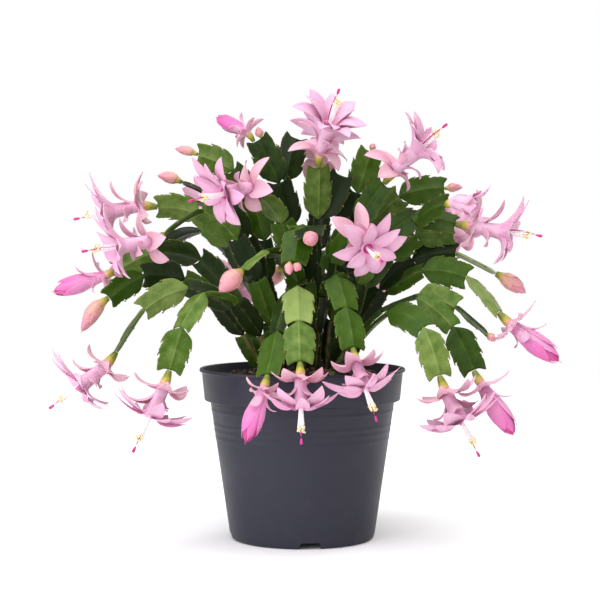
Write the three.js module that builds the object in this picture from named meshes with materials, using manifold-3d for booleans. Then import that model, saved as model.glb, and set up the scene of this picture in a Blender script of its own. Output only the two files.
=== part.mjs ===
// A potted Christmas cactus (Schlumbergera truncata) in bloom, millimetres, +Z up.
// The origin is the middle of the pot's foot, on the surface that the pot stands on.
// Each leafy stem, each bloom and each bud is one closed solid. The stems stand in plain holes in the soil,
// and the blooms and buds sit on the tips of the stems with a hair's gap.
import * as THREE from 'three';
import { mergeVertices } from 'three/addons/utils/BufferGeometryUtils.js';
import Module from 'manifold-3d';

const wasm = await Module();
wasm.setup();

// ---------------------------------------------------------------- driving dimensions

const radians = (degrees) => THREE.MathUtils.degToRad(degrees);

const GAP = 0.3; // between pieces that touch

const POT = {
  height: 108,
  rimRadius: 65.4, // outside of the rolled lip
  lip: 2.9, // width of the lip, seen from above
  collarRadius: 63.7, // outside of the collar under the lip
  collarFoot: 62.1, // outside of the collar at its lower edge
  collarBottom: 88.2,
  bodyTop: 58.4, // outside of the tapered body just under the collar
  bodyBottom: 46.2,
  footRadius: 43.8, // outer edge of the ring that the pot stands on
  footInner: 39.8,
  footHeight: 2.6,
  wall: 1.7,
  floor: 4.6,
  sides: 28,
};
// Notches in the foot ring's edge.
const NOTCH = { count: 4, width: 15, top: 11, height: 4.1, depth: 14, firstDegrees: -84 };
const DRAIN = { count: 4, radius: 3.6, ring: 24, sides: 6 };

const SOIL = { edge: 102.4, crown: 105, lump: 0.8, rings: 3, sides: 18 };
// The woody foot of a stem, and the plain hole that it stands in.
const FOOT = { radius: 3, topRadius: 2.3, bottom: 90.5, top: 108, sides: 5, hole: 3.6 };

const SEGMENT = {
  width: 19.4, // across the teeth
  wornWidth: 15, // the oldest segments, next to the foot
  rim: 1, // thickness at the toothed rim
  rib: 2.6, // thickness along the middle
  neck: 1.6, // thickness and width of the neck
  tip: 2.5, // thickness at the blunt tip, where the next neck or a bloom stands
  sunk: 1.3, // how far a neck reaches into the segment that it grew from
  sway: 9, // most degrees that a segment turns by chance
};
// Half outlines from neck to tip: [share of the length, share of the half width].
const TOOTHED = [
  [0, 0.085],
  [0.16, 0.66],
  [0.39, 1],
  [0.415, 0.86],
  [0.68, 0.98],
  [0.705, 0.82],
  [1.08, 0.78],
  [1, 0.3],
];
const WORN = [[0, 0.11], [0.3, 0.92], [1.03, 0.8], [1, 0.34]];
const RIB_FROM = 0.15; // the raised middle begins and ends at these shares of the length
const RIB_TO = 0.9;
// A segment carries on the skin of the last one unless it turns by more than these at the joint.
const MOST_SWING = Math.sin(radians(21.5)); // aside, in the plane of either
const MOST_BEND = Math.cos(radians(56));
const FORK_SHIFT = 4.5; // from the middle of a tip to the neck of a second segment that grows there

// A flower's body is a row of six-sided rings: [distance from the base, radius]. The body bends over its
// first two legs, from the direction of the segment to the way the flower points. A petal on the upper side
// of a flower that lies level is longer and curls less than one on the lower side.
const FLOWER = { sides: 6, leg: 8.5, keel: 1, longer: 0.2, straighter: 24 };
const FORMS = {
  open: {
    rings: [
      [0, 1.4],
      [4, 2.9],
      [8, 3],
      [11.6, 4.2],
      [26, 4.9],
      [30.5, 5.9],
      [29.2, 1.9],
      [44.5, 1.8],
      [45.8, 0.7],
      [50.5, 1.2],
    ],
    tip: 53.5,
    whorls: [
      { ring: 2, skip: [3], length: 20, width: 10.6, leaves: 68, ends: 142, reflex: -14,
        rows: [[0.52, 1]] },
      { ring: 4, skip: [], length: 25, width: 11.4, leaves: 34, ends: 98, reflex: 46,
        rows: [[0.42, 1], [0.78, 0.8]] },
    ],
  },
  closed: {
    rings: [[0, 1.4], [4, 2.9], [8, 3], [11.6, 4.2], [19, 4.8], [29, 6.8], [39, 5.6]],
    tip: 49,
    whorls: [
      { ring: 2, skip: [3], length: 19, width: 8, leaves: 65, ends: 125, reflex: 0, rows: [[0.52, 1]] },
    ],
  },
  half: {
    rings: [[0, 1.3], [3.6, 2.9], [7, 4.2], [16, 4.9], [19.5, 4.7]],
    tip: 25,
    whorls: [
      { ring: 3, skip: [1, 3, 5], length: 15, width: 7.4, leaves: 25, ends: 110, reflex: 0,
        rows: [[0.52, 1]] },
    ],
  },
};
const BUD_RINGS = [[0, 0.2], [0.18, 0.31], [0.45, 0.5], [0.78, 0.35]]; // shares of the length and width

// ---------------------------------------------------------------- layout

// Each stem stands at `foot` (x, y) and grows as arches. An arch rises from the foot, or `from` the joint
// [arch, joint] of an older one, bends over the control point `over` and ends at `to`. It carries `count`
// segments, and `turn` gives the degrees that each is turned about its own length, the last value holding for
// the rest. `bears` sets blooms and buds on its tip, each `aside` from the middle of the tip by so much.
// `points` is the way that a flower faces, `spin` the degrees that it is turned about that way, and `size` its
// share of the full size. A `bud` is given as [length, width].
const STEMS = {
  front: {
    foot: [-4, -16],
    arches: [
      { over: [-4, -45, 214], to: [-1.5, -84, 118], count: 5, turn: [70, 40, 15, 0],
        bears: [{ form: 'open', points: [0.02, -0.2, -0.98], spin: 30, size: 0.9 }] },
      { from: [0, 3], over: [-12, -66, 150], to: [-20.5, -77, 110], count: 2, turn: [0],
        bears: [{ form: 'closed', points: [-0.32, -0.3, -0.9], spin: 30, size: 0.88 }] },
    ],
  },
  front_right: {
    foot: [9, -15],
    arches: [
      { over: [16, -42, 218], to: [29.5, -80, 126], count: 5, turn: [60, 40, 15, 0],
        bears: [{ form: 'open', points: [0.32, -0.3, -0.9], spin: 30, size: 0.86 }] },
      { from: [0, 1], over: [18, -28, 194], to: [28, -40, 187], count: 3, turn: [30, 60, 80],
        bears: [{ form: 'open', points: [0.36, -0.84, -0.4], spin: 0, size: 0.92 }] },
    ],
  },
  front_inner: {
    foot: [1, -4],
    arches: [
      { over: [6, -22, 245], to: [-5, -70, 176], count: 5, turn: [10, 0],
        bears: [
          { bud: [7, 4.8], points: [-0.85, -0.1, -0.5], aside: -2.6 },
          { bud: [10, 4.8], points: [0.35, -0.3, -0.88], aside: 2.6 },
        ] },
      { from: [0, 2], over: [-12, -36, 199], to: [-36, -62, 171], count: 3, turn: [10, 15, 20],
        bears: [{ bud: [21, 11], points: [-0.62, -0.3, -0.62] }] },
      { from: [0, 4], over: [5, -62, 200], to: [4.5, -77, 191], count: 1, turn: [10],
        bears: [{ bud: [11, 8], points: [0, -0.98, -0.2] }] },
    ],
  },
  left_low: {
    foot: [-16, -11],
    arches: [
      { over: [-58, -46, 207], to: [-80, -56, 111], count: 5, turn: [60, 80, 10, -20, -55],
        bears: [{ form: 'open', points: [-0.42, -0.12, -0.9], spin: 15 }] },
      { from: [0, 2], over: [-85, -22, 182], to: [-115, -28, 120], count: 3, turn: [70, 75, 5],
        bears: [{ form: 'open', points: [-0.78, -0.15, -0.6], spin: 45 }] },
    ],
  },
  left_mid: {
    foot: [-24, 0],
    arches: [
      { over: [-75, -8, 199], to: [-121, -15, 153], count: 5, turn: [80, 75, 80, 80, 70],
        bears: [{ bud: [28, 9], points: [-0.5, -0.05, -0.86] }] },
      { from: [0, 1], over: [-64, 14, 209], to: [-118, 10, 170], count: 4, turn: [60, 70, 60, 75],
        bears: [{ form: 'closed', points: [-0.95, -0.05, -0.3], spin: 0, size: 0.9 }] },
    ],
  },
  left_upper: {
    foot: [-12, -1],
    arches: [
      { over: [-45, -14, 245], to: [-84, -33, 193], count: 5, turn: [80, 70, 60, 70, 10],
        bears: [{ form: 'open', points: [-0.92, -0.35, -0.15], spin: 20 }] },
      { from: [0, 2], over: [-60, 10, 219], to: [-92, 7, 210], count: 3, turn: [70, 75, 60],
        bears: [{ form: 'open', points: [-0.95, -0.1, -0.2], spin: 50 }] },
    ],
  },
  top_left: {
    foot: [-16, 12],
    arches: [
      { over: [-25, 9, 215], to: [-77, 15, 226], count: 5, turn: [60, 70, 70, 60, 5],
        bears: [{ bud: [17, 7], points: [-1, 0, 0.03] }] },
      { from: [0, 4], over: [-72, 20, 217], to: [-85, 23, 211], count: 1, turn: [10],
        bears: [{ bud: [9, 4.4], points: [-0.8, 0, 0.4] }] },
      { from: [0, 2], over: [-26, 16, 240], to: [-67, 20, 244], count: 4, turn: [60, 80, 70, 75],
        bears: [{ bud: [16, 5.6], points: [-1, 0, 0.05] }] },
    ],
  },
  top: {
    foot: [-3, 5],
    arches: [
      { over: [1, 3, 210], to: [-28, -2, 252], count: 5, turn: [60, 80, 75, 80, 80],
        bears: [
          { form: 'closed', points: [-0.8, 0.5, 0.4], spin: 0, size: 0.7, aside: 2.8 },
          { bud: [8, 4.8], points: [0.25, -0.6, 0.75], aside: -2.6 },
        ] },
      { from: [0, 4], over: [-10, 8, 240], to: [-4, 11, 254], count: 1, turn: [50] },
      { from: [0, 1], over: [-6, -16, 205], to: [-25, -27, 216], count: 4, turn: [70, 60, 40, 10],
        bears: [{ form: 'open', points: [-0.82, -0.52, -0.24], spin: 30 }] },
    ],
  },
  top_right: {
    foot: [9, 7],
    arches: [
      { over: [9, 0, 190], to: [10, -11, 234], count: 4, turn: [60, 70, 75, 12],
        bears: [{ form: 'open', points: [0.3, -0.5, 0.82], spin: 0 }] },
      { from: [0, 3], over: [18, 3, 212], to: [25, 4, 230], count: 1, turn: [70] },
      { from: [0, 1], over: [26, 16, 190], to: [44, 15, 246], count: 4, turn: [70, 60, 80, 75],
        bears: [{ bud: [6, 4], points: [0.9, 0, -0.3] }] },
    ],
  },
  right_upper: {
    foot: [16, 1],
    arches: [
      { over: [20, 2, 190], to: [51, -12, 224], count: 4, turn: [70, 80, 80, 75],
        bears: [{ form: 'open', points: [0.74, -0.26, 0.62], spin: 25 }] },
      { from: [0, 2], over: [50, 8, 228], to: [91, 14, 222], count: 3, turn: [70, 75, 80],
        bears: [{ bud: [12, 5], points: [0.98, 0, -0.15] }] },
    ],
  },
  right: {
    foot: [22, -8],
    arches: [
      { over: [42, -13, 225], to: [95, -16, 199], count: 5, turn: [70, 70, 66, 66, 50],
        bears: [{ form: 'open', points: [0.97, -0.12, -0.18], spin: 10 }] },
      { from: [0, 4], over: [80, -22, 211], to: [87, -38, 210], count: 1, turn: [60],
        bears: [{ form: 'half', points: [0.93, -0.2, -0.3], spin: 0 }] },
      { from: [0, 2], over: [62, 8, 200], to: [96, 2, 194], count: 3, turn: [60, 60, 80] },
    ],
  },
  right_mid: {
    foot: [25, 5],
    arches: [
      { over: [62, 4, 213], to: [122, -3, 168], count: 5, turn: [70, 75, 60, 80, 5],
        bears: [{ bud: [23, 9.5], points: [0.8, -0.05, -0.6] }] },
      { from: [0, 2], over: [92, -24, 192], to: [121.4, -24, 144.4], count: 3, turn: [50, 75, 5],
        bears: [{ form: 'closed', points: [0.8, -0.05, -0.6], spin: 20 }] },
    ],
  },
  right_low: {
    foot: [19, -16],
    arches: [
      { over: [63, -32, 187], to: [113, -36, 132], count: 5, turn: [60, 10, 5, 80, 5],
        bears: [{ bud: [7, 4.4], points: [0.5, -0.2, -0.85] }] },
      { from: [0, 3], over: [90, -42, 148], to: [104, -46, 110], count: 2, turn: [70, 60],
        bears: [{ form: 'closed', points: [0.54, -0.1, -0.84], spin: 45, size: 0.95 }] },
      { from: [0, 1], over: [68, -54, 174], to: [82, -60, 108], count: 3, turn: [20, 60, 40],
        bears: [{ form: 'open', points: [0.46, -0.12, -0.88], spin: 5 }] },
    ],
  },
  back: {
    foot: [1, 21],
    arches: [
      { over: [-4, 53, 212], to: [2, 80, 130], count: 5, turn: [60, 40, 10, 0],
        bears: [{ form: 'open', points: [0.1, 0.4, -0.9], spin: 30, size: 0.9 }] },
      { from: [0, 2], over: [-8, 58, 206], to: [-14, 86, 172], count: 3, turn: [50, 20, 10],
        bears: [{ bud: [22, 9], points: [-0.4, 0.5, -0.75] }] },
    ],
  },
  back_left: {
    foot: [-14, 20],
    arches: [
      { over: [-42, 48, 210], to: [-42, 62, 172], count: 5, turn: [60, 40, 20, 10, 30],
        bears: [{ form: 'open', points: [-0.12, 0.85, -0.45], spin: 45 }] },
      { from: [0, 2], over: [-62, 50, 222], to: [-94, 54, 184], count: 3, turn: [50, 30, 10],
        bears: [{ form: 'closed', points: [-0.8, 0.35, -0.4], spin: 0, size: 0.9 }] },
    ],
  },
  back_right: {
    foot: [19, 17],
    arches: [
      { over: [44, 48, 210], to: [38, 66, 168], count: 5, turn: [60, 40, 20, 10, 30],
        bears: [{ form: 'open', points: [0.05, 0.85, -0.45], spin: 50 }] },
      { from: [0, 2], over: [60, 44, 222], to: [80, 46, 200], count: 3, turn: [50, 40, 60],
        bears: [{ form: 'open', points: [0.6, 0.72, -0.2], spin: 15 }] },
    ],
  },
  back_upper: {
    foot: [8, 14],
    arches: [
      { over: [12, 32, 200], to: [12, 46, 232], count: 5, turn: [50, 30, 60, 40],
        bears: [{ form: 'open', points: [0.15, 0.6, 0.78], spin: 0 }] },
      { from: [0, 2], over: [-16, 44, 216], to: [-38, 52, 212], count: 3, turn: [40, 30],
        bears: [{ form: 'open', points: [-0.5, 0.8, 0.05], spin: 40 }] },
    ],
  },
};

// ---------------------------------------------------------------- vectors and solids

const UP = new THREE.Vector3(0, 0, 1);
const vec = ([x, y, z]) => new THREE.Vector3(x, y, z);

// A repeatable draw between -1 and 1.
function draw(seed) {
  const wave = Math.sin(seed * 12.9898 + 4.1414) * 43758.5453;
  return 2 * (wave - Math.floor(wave)) - 1;
}

// The solid of a list of points and a list of triangles, each three numbers of points.
function solidFromFaces(points, triangles) {
  return new wasm.Manifold(new wasm.Mesh({
    numProp: 3,
    vertProperties: new Float32Array(points.flatMap((point) => [point.x, point.y, point.z])),
    triVerts: new Uint32Array(triangles.flat()),
  }));
}

function solidFromGeometry(geometry) {
  const bare = geometry.clone();
  bare.deleteAttribute('normal');
  bare.deleteAttribute('uv');
  const merged = mergeVertices(bare, 1e-4);
  const corners = Array.from(merged.index.array);
  const kept = [];
  for (let i = 0; i < corners.length; i += 3) {
    const [a, b, c] = corners.slice(i, i + 3);
    if (a !== b && b !== c && c !== a) kept.push(a, b, c);
  }
  return new wasm.Manifold(new wasm.Mesh({
    numProp: 3,
    vertProperties: merged.attributes.position.array,
    triVerts: new Uint32Array(kept),
  }));
}

function geometryFromSolid(solid) {
  const mesh = solid.getMesh();
  const geometry = new THREE.BufferGeometry();
  geometry.setAttribute('position', new THREE.BufferAttribute(new Float32Array(mesh.vertProperties), 3));
  geometry.setIndex(new THREE.BufferAttribute(new Uint32Array(mesh.triVerts), 1));
  const flat = geometry.toNonIndexed();
  flat.computeVertexNormals();
  return flat;
}

// A closed solid of revolution about Z from an outline of [radius, height] that starts and ends on the axis.
function turned(outline, sides) {
  const profile = outline.map(([radius, height]) => new THREE.Vector2(radius, height));
  return new THREE.LatheGeometry(profile, sides).rotateX(Math.PI / 2);
}

// An upright prism or tapered post with its axis at x, y.
function post(x, y, bottom, top, bottomRadius, topRadius, sides) {
  return solidFromGeometry(
    new THREE.CylinderGeometry(topRadius, bottomRadius, top - bottom, sides)
      .rotateX(Math.PI / 2)
      .translate(x, y, (bottom + top) / 2),
  );
}

// ---------------------------------------------------------------- pot and soil

// The inside of the pot: radius and height pairs from the floor up to the lip.
function potInside() {
  const { wall, floor, height, collarBottom } = POT;
  return [
    [POT.bodyBottom - wall - 1.6, floor],
    [POT.bodyBottom - wall + 0.2, floor + 1.8],
    [POT.bodyTop - wall, collarBottom - 0.6],
    [POT.collarFoot - wall, collarBottom + wall],
    [POT.rimRadius - POT.lip, height],
  ];
}

function makePot() {
  const inside = potInside().reverse();
  const outline = [
    [0, POT.footHeight],
    [POT.footInner, POT.footHeight],
    [POT.footInner, 0],
    [POT.footRadius, 0],
    [POT.bodyBottom - 0.7, 1.1],
    [POT.bodyBottom, 3.6],
    [POT.bodyTop, POT.collarBottom - 0.8],
    [POT.collarFoot, POT.collarBottom],
    [POT.collarRadius, POT.height - 2.8],
    [POT.rimRadius, POT.height - 2],
    [POT.rimRadius - 0.5, POT.height],
    ...inside,
    [0, POT.floor],
  ];
  let pot = solidFromGeometry(turned(outline, POT.sides));
  for (let i = 0; i < NOTCH.count; i++) {
    const angle = radians(NOTCH.firstDegrees + (360 / NOTCH.count) * i);
    const gate = new THREE.Shape([
      new THREE.Vector2(-NOTCH.width / 2, -1),
      new THREE.Vector2(NOTCH.width / 2, -1),
      new THREE.Vector2(NOTCH.top / 2, NOTCH.height),
      new THREE.Vector2(-NOTCH.top / 2, NOTCH.height),
    ]);
    const cutter = new THREE.ExtrudeGeometry(gate, { depth: NOTCH.depth, bevelEnabled: false })
      .rotateX(Math.PI / 2)
      .translate(0, NOTCH.depth / 2, 0)
      .rotateZ(Math.PI / 2)
      .translate(POT.footInner + NOTCH.depth / 2 - 1.2, 0, 0)
      .rotateZ(angle);
    pot = pot.subtract(solidFromGeometry(cutter));
  }
  for (let i = 0; i < DRAIN.count; i++) {
    const angle = radians(45 + (360 / DRAIN.count) * i);
    const x = DRAIN.ring * Math.cos(angle);
    const y = DRAIN.ring * Math.sin(angle);
    pot = pot.subtract(post(x, y, 1, POT.floor + 1, DRAIN.radius, DRAIN.radius, DRAIN.sides));
  }
  return pot;
}

// The height of the soil's surface: a low mound with lumps.
function soilHeight(x, y, radius) {
  const share = Math.hypot(x, y) / radius;
  const mound = SOIL.edge + (SOIL.crown - SOIL.edge) * (1 - share * share);
  const lumps = Math.sin(x * 0.31 + 1.3) * Math.cos(y * 0.27 - 0.6) + 0.5 * Math.sin((x + y) * 0.52);
  return mound + SOIL.lump * lumps * (1 - share ** 4);
}

function makeSoil() {
  const inside = potInside();
  const [, , , collar, rim] = inside;
  const rise = (SOIL.edge - collar[1]) / (rim[1] - collar[1]);
  const edgeRadius = collar[0] + (rim[0] - collar[0]) * rise;
  const side = [...inside.slice(0, 4), [edgeRadius, SOIL.edge]];
  const outline = side.map(([radius, height]) => [radius - 2 * GAP, height]);
  outline[0][1] += GAP;
  const topRadius = outline[4][0];
  for (let i = SOIL.rings - 1; i > 0; i--) outline.push([(topRadius * i) / SOIL.rings, SOIL.edge]);
  const geometry = turned([[0, outline[0][1]], ...outline, [0, SOIL.edge]], SOIL.sides);
  const position = geometry.attributes.position;
  for (let i = 0; i < position.count; i++) {
    if (position.getZ(i) > SOIL.edge - 0.01) {
      position.setZ(i, soilHeight(position.getX(i), position.getY(i), topRadius));
    }
  }
  let soil = solidFromGeometry(geometry);
  for (const { foot } of Object.values(STEMS)) {
    const [x, y] = foot;
    soil = soil.subtract(post(x, y, FOOT.bottom - GAP, SOIL.crown + 5, FOOT.hole, FOOT.hole, FOOT.sides));
  }
  return soil;
}

// ---------------------------------------------------------------- leafy stems

// Adds one flat segment from `start` to `end`, its width along `side`: a raised middle, and teeth along both
// edges. `neck` holds the four points of the tip that it carries on from, or null where it gets a neck of its
// own, sunk into what it grew from. Returns the four points of its own blunt tip, which stays open.
function addSegment(points, triangles, { start, end, side, halfWidth, outline }, neck) {
  const along = end.clone().sub(start);
  const length = along.length();
  along.normalize();
  const up = new THREE.Vector3().crossVectors(along, side).normalize();
  const addPoint = (share, across, lift) => points.push(start.clone()
    .addScaledVector(along, share === 0 ? -SEGMENT.sunk : share * length)
    .addScaledVector(side, across)
    .addScaledVector(up, lift)) - 1;

  // The rim goes up one side and down the other, first on the upper face and then on the lower one.
  const last = outline.length - 1;
  const addRim = (face) => {
    const half = (i) => (i === 0 ? SEGMENT.neck : i === last ? SEGMENT.tip : SEGMENT.rim) / 2;
    const addSide = (sign) => outline.map(([share, width], i) => {
      if (i === 0 && neck) return neck[face > 0 ? (sign > 0 ? 0 : 1) : (sign > 0 ? 2 : 3)];
      return addPoint(share, sign * width * halfWidth, face * half(i));
    });
    return [...addSide(1), ...addSide(-1).reverse()];
  };
  const upper = addRim(1);
  const lower = addRim(-1);
  const count = upper.length;

  // Each face is two fans round the ends of the raised middle. The far one takes the tip and its two horns.
  const far = last - 1;
  [upper, lower].forEach((rim, face) => {
    const lift = (face === 0 ? 1 : -1) * (SEGMENT.rib / 2);
    const near = addPoint(RIB_FROM, 0, lift);
    const tip = addPoint(RIB_TO, 0, lift);
    const add = (a, b, c) => triangles.push(face === 0 ? [a, c, b] : [a, b, c]);
    for (let i = 0; i < count; i++) {
      const next = (i + 1) % count;
      const atTip = i >= far - 1 && i < count - far;
      add(rim[i], rim[next], atTip ? tip : near);
    }
    add(rim[far - 1], tip, near);
    add(rim[count - far], near, tip);
  });
  for (let i = 0; i < count; i++) {
    const next = (i + 1) % count;
    const open = i === last || (i === count - 1 && neck);
    if (!open) triangles.push([upper[i], upper[next], lower[next]], [upper[i], lower[next], lower[i]]);
  }
  return [upper[last], upper[last + 1], lower[last], lower[last + 1]];
}

// Runs of segments joined tip to neck in one skin. A segment that turns sharply at the joint, where its skin
// would fold or meet a horn of the last one, starts a new run.
function makeRuns(segments) {
  const runs = [];
  let points = [];
  let triangles = [];
  let tip = null;
  const close = () => {
    if (tip === null) return;
    triangles.push([tip[0], tip[1], tip[3]], [tip[0], tip[3], tip[2]]);
    runs.push(solidFromFaces(points, triangles));
  };
  segments.forEach((segment, i) => {
    const last = segments[i - 1];
    const carriesOn = last
      && last.along.dot(segment.along) > MOST_BEND
      && Math.abs(segment.along.dot(last.side)) < MOST_SWING
      && Math.abs(last.along.dot(segment.side)) < MOST_SWING;
    if (!carriesOn) {
      close();
      points = [];
      triangles = [];
      tip = null;
    }
    tip = addSegment(points, triangles, segment, tip);
  });
  close();
  return runs;
}

// The joints of each arch of a stem, and the way each segment is turned.
function growStem({ foot, arches }, stemSeed) {
  const grown = [];
  arches.forEach(({ from, over, to, count, turn, bears = [] }, archIndex) => {
    const parent = from && grown[from[0]];
    const start = from ? parent.joints[from[1]].clone() : new THREE.Vector3(foot[0], foot[1], FOOT.top - 1);
    if (from) {
      const side = parent.segments[from[1] - 1].side;
      start.addScaledVector(side, FORK_SHIFT * Math.sign(side.dot(vec(over).sub(start))));
    }
    const joints = new THREE.QuadraticBezierCurve3(start, vec(over), vec(to)).getSpacedPoints(count);
    const level = new THREE.Vector3().crossVectors(vec(to).sub(start), UP).normalize();
    const segments = [];
    for (let i = 0; i < count; i++) {
      const along = joints[i + 1].clone().sub(joints[i]).normalize();
      const sway = SEGMENT.sway * draw(stemSeed * 37 + archIndex * 11 + i);
      const degrees = turn[Math.min(i, turn.length - 1)] + sway;
      const side = level.clone().addScaledVector(along, -level.dot(along)).normalize();
      side.applyAxisAngle(along, radians(degrees));
      const worn = from ? count > 1 && i === 0 : i < count - 2 && i < 3;
      const halfWidth = (worn ? SEGMENT.wornWidth : SEGMENT.width) / 2;
      const outline = worn ? WORN : TOOTHED;
      segments.push({ start: joints[i], end: joints[i + 1], along, side, halfWidth, outline });
    }
    grown.push({ joints, segments, bears });
  });
  return grown;
}

function makeStem({ foot: [x, y] }, grown) {
  let stem = post(x, y, FOOT.bottom, FOOT.top, FOOT.radius, FOOT.topRadius, FOOT.sides);
  for (const { segments } of grown) {
    for (const run of makeRuns(segments)) stem = stem.add(run);
  }
  return stem;
}

// ---------------------------------------------------------------- blooms and buds

// The middle line of a flower: it leaves the segment `along` its length and bends to `points` over two legs.
function flowerLine(base, along, points, leg) {
  const knee = base.clone().addScaledVector(along, leg);
  const hip = knee.clone().addScaledVector(points, leg);
  return (reach) => {
    if (reach >= 2 * leg) {
      return { at: hip.clone().addScaledVector(points, reach - 2 * leg), way: points.clone() };
    }
    const t = reach / (2 * leg);
    const at = base.clone().multiplyScalar((1 - t) ** 2)
      .addScaledVector(knee, 2 * t * (1 - t))
      .addScaledVector(hip, t * t);
    return { at, way: along.clone().lerp(points, t).normalize() };
  };
}

// One petal raised from a face of the body: rows of three points (left edge, right edge, keel), and a tip.
// It leaves the body at one angle from the flower's way and curls to another along an arc. In a flower that
// hangs, both change by `reflex`.
function addPetal(points, triangles, corners, centre, frame, petal, size) {
  const [lowLeft, lowRight, highRight, highLeft] = corners;
  const { out, round, way } = frame;
  const hang = petal.reflex * Math.max(0, -way.z);
  const leaves = radians(petal.leaves + hang * 0.75);
  const curl = radians(petal.ends + hang - FLOWER.straighter * out.z) - leaves;
  const length = petal.length * size * (1 + FLOWER.longer * out.z);
  const at = (share) => {
    const angle = leaves + curl * share;
    const forward = (Math.sin(angle) - Math.sin(leaves)) / curl;
    const outward = (Math.cos(leaves) - Math.cos(angle)) / curl;
    return {
      middle: centre.clone().addScaledVector(way, forward * length).addScaledVector(out, outward * length),
      back: way.clone().multiplyScalar(-Math.sin(angle)).addScaledVector(out, Math.cos(angle)),
    };
  };
  let previous = null;
  for (const [share, width] of petal.rows) {
    const { middle, back } = at(share);
    const half = (petal.width * size * width) / 2;
    const left = points.push(middle.clone().addScaledVector(round, -half)) - 1;
    const right = points.push(middle.clone().addScaledVector(round, half)) - 1;
    const keel = points.push(middle.clone().addScaledVector(back, FLOWER.keel)) - 1;
    if (previous === null) {
      triangles.push([highLeft, left, right], [highLeft, right, highRight], [lowLeft, lowRight, keel]);
      triangles.push([lowLeft, keel, left], [lowLeft, left, highLeft]);
      triangles.push([lowRight, highRight, right], [lowRight, right, keel]);
    } else {
      const [oldLeft, oldRight, oldKeel] = previous;
      triangles.push([oldLeft, left, right], [oldLeft, right, oldRight]);
      triangles.push([oldKeel, keel, left], [oldKeel, left, oldLeft]);
      triangles.push([oldKeel, oldRight, right], [oldKeel, right, keel]);
    }
    previous = [left, right, keel];
  }
  const [left, right, keel] = previous;
  const tip = points.push(at(1).middle) - 1;
  triangles.push([left, tip, right], [keel, tip, left], [keel, right, tip]);
}

// A flower or bud: six-sided rings along a bent middle line, capped at its base and pointed at its tip.
function makeFlower(base, along, pointsTo, form, size, spin) {
  const { sides, leg } = FLOWER;
  const line = flowerLine(base, along, pointsTo, leg * size);
  const level = new THREE.Vector3().crossVectors(along, pointsTo);
  if (level.length() < 0.05) level.crossVectors(UP, pointsTo);
  level.normalize();
  const frameAt = (reach) => {
    const { at, way } = line(reach);
    const first = level.clone().addScaledVector(way, -level.dot(way)).normalize();
    const second = new THREE.Vector3().crossVectors(way, first);
    return { at, way, first, second };
  };
  const outAt = ({ first, second }, k) => {
    const angle = radians(spin) + (2 * Math.PI * k) / sides;
    return first.clone().multiplyScalar(Math.cos(angle)).addScaledVector(second, Math.sin(angle));
  };

  const points = [];
  for (const [reach, radius] of form.rings) {
    const frame = frameAt(reach * size);
    for (let k = 0; k < sides; k++) {
      points.push(frame.at.clone().addScaledVector(outAt(frame, k), radius * size));
    }
  }
  const triangles = [];
  for (let k = 1; k < sides - 1; k++) triangles.push([0, k + 1, k]);
  for (let ring = 0; ring < form.rings.length - 1; ring++) {
    const whorl = form.whorls.find((one) => one.ring === ring);
    for (let k = 0; k < sides; k++) {
      const next = (k + 1) % sides;
      const first = ring * sides;
      const second = first + sides;
      const corners = [first + k, first + next, second + next, second + k];
      if (!whorl || whorl.skip.includes(k)) {
        triangles.push([corners[0], corners[1], corners[2]], [corners[0], corners[2], corners[3]]);
        continue;
      }
      const reach = ((form.rings[ring][0] + form.rings[ring + 1][0]) / 2) * size;
      const frame = frameAt(reach);
      const out = outAt(frame, k + 0.5);
      const centre = new THREE.Vector3();
      corners.forEach((corner) => centre.addScaledVector(points[corner], 1 / corners.length));
      const round = new THREE.Vector3().crossVectors(frame.way, out);
      addPetal(points, triangles, corners, centre, { out, round, way: frame.way }, whorl, size);
    }
  }
  const lastRing = (form.rings.length - 1) * sides;
  const tip = points.push(frameAt(form.tip * size).at) - 1;
  for (let k = 0; k < sides; k++) triangles.push([lastRing + k, lastRing + ((k + 1) % sides), tip]);
  return solidFromFaces(points, triangles);
}

function budForm([length, width]) {
  const rings = BUD_RINGS.map(([share, part]) => [share * length, part * width]);
  return { rings, tip: length, whorls: [] };
}

// ---------------------------------------------------------------- assembly

const PLASTIC = new THREE.MeshStandardMaterial({ color: '#464850', roughness: 0.5, metalness: 0 });
const PEAT = new THREE.MeshStandardMaterial({ color: '#3a2a1e', roughness: 0.95, metalness: 0 });
const LEAF = new THREE.MeshStandardMaterial({ color: '#47691d', roughness: 0.5, metalness: 0 });
const PETAL = new THREE.MeshStandardMaterial({ color: '#eea9d3', roughness: 0.55, metalness: 0 });
const BUD = new THREE.MeshStandardMaterial({ color: '#eda9a4', roughness: 0.5, metalness: 0 });

const plant = new THREE.Group();

function addPiece(name, solid, material) {
  const mesh = new THREE.Mesh(geometryFromSolid(solid), material);
  mesh.name = name;
  plant.add(mesh);
}

addPiece('pot', makePot(), PLASTIC);
addPiece('soil', makeSoil(), PEAT);

Object.entries(STEMS).forEach(([place, stem], stemIndex) => {
  const grown = growStem(stem, stemIndex + 1);
  addPiece(`stem_${place}`, makeStem(stem, grown), LEAF);
  const made = { bloom: 0, bud: 0 };
  for (const { joints, segments, bears } of grown) {
    const { along, side } = segments.at(-1);
    for (const { form, bud, points, spin = 0, size = 1, aside = 0 } of bears) {
      const kind = bud ? 'bud' : 'bloom';
      made[kind] += 1;
      const base = joints.at(-1).clone().addScaledVector(along, GAP).addScaledVector(side, aside);
      const shape = bud ? budForm(bud) : FORMS[form];
      const solid = makeFlower(base, along, vec(points).normalize(), shape, size, spin);
      addPiece(`${kind}_${place}_${made[kind]}`, solid, bud ? BUD : PETAL);
    }
  }
});

export default plant;
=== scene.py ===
"""A Christmas cactus in bloom in a grey nursery pot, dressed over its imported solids.

The layout, the growth of the stems and the frames of the flowers are those of the solids, in millimetres,
but for one bend that a comment tells of. Every finer piece is worked out from them, so it lies where its
solid lies. Meshes are put down in metres.
"""

from __future__ import annotations

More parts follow.
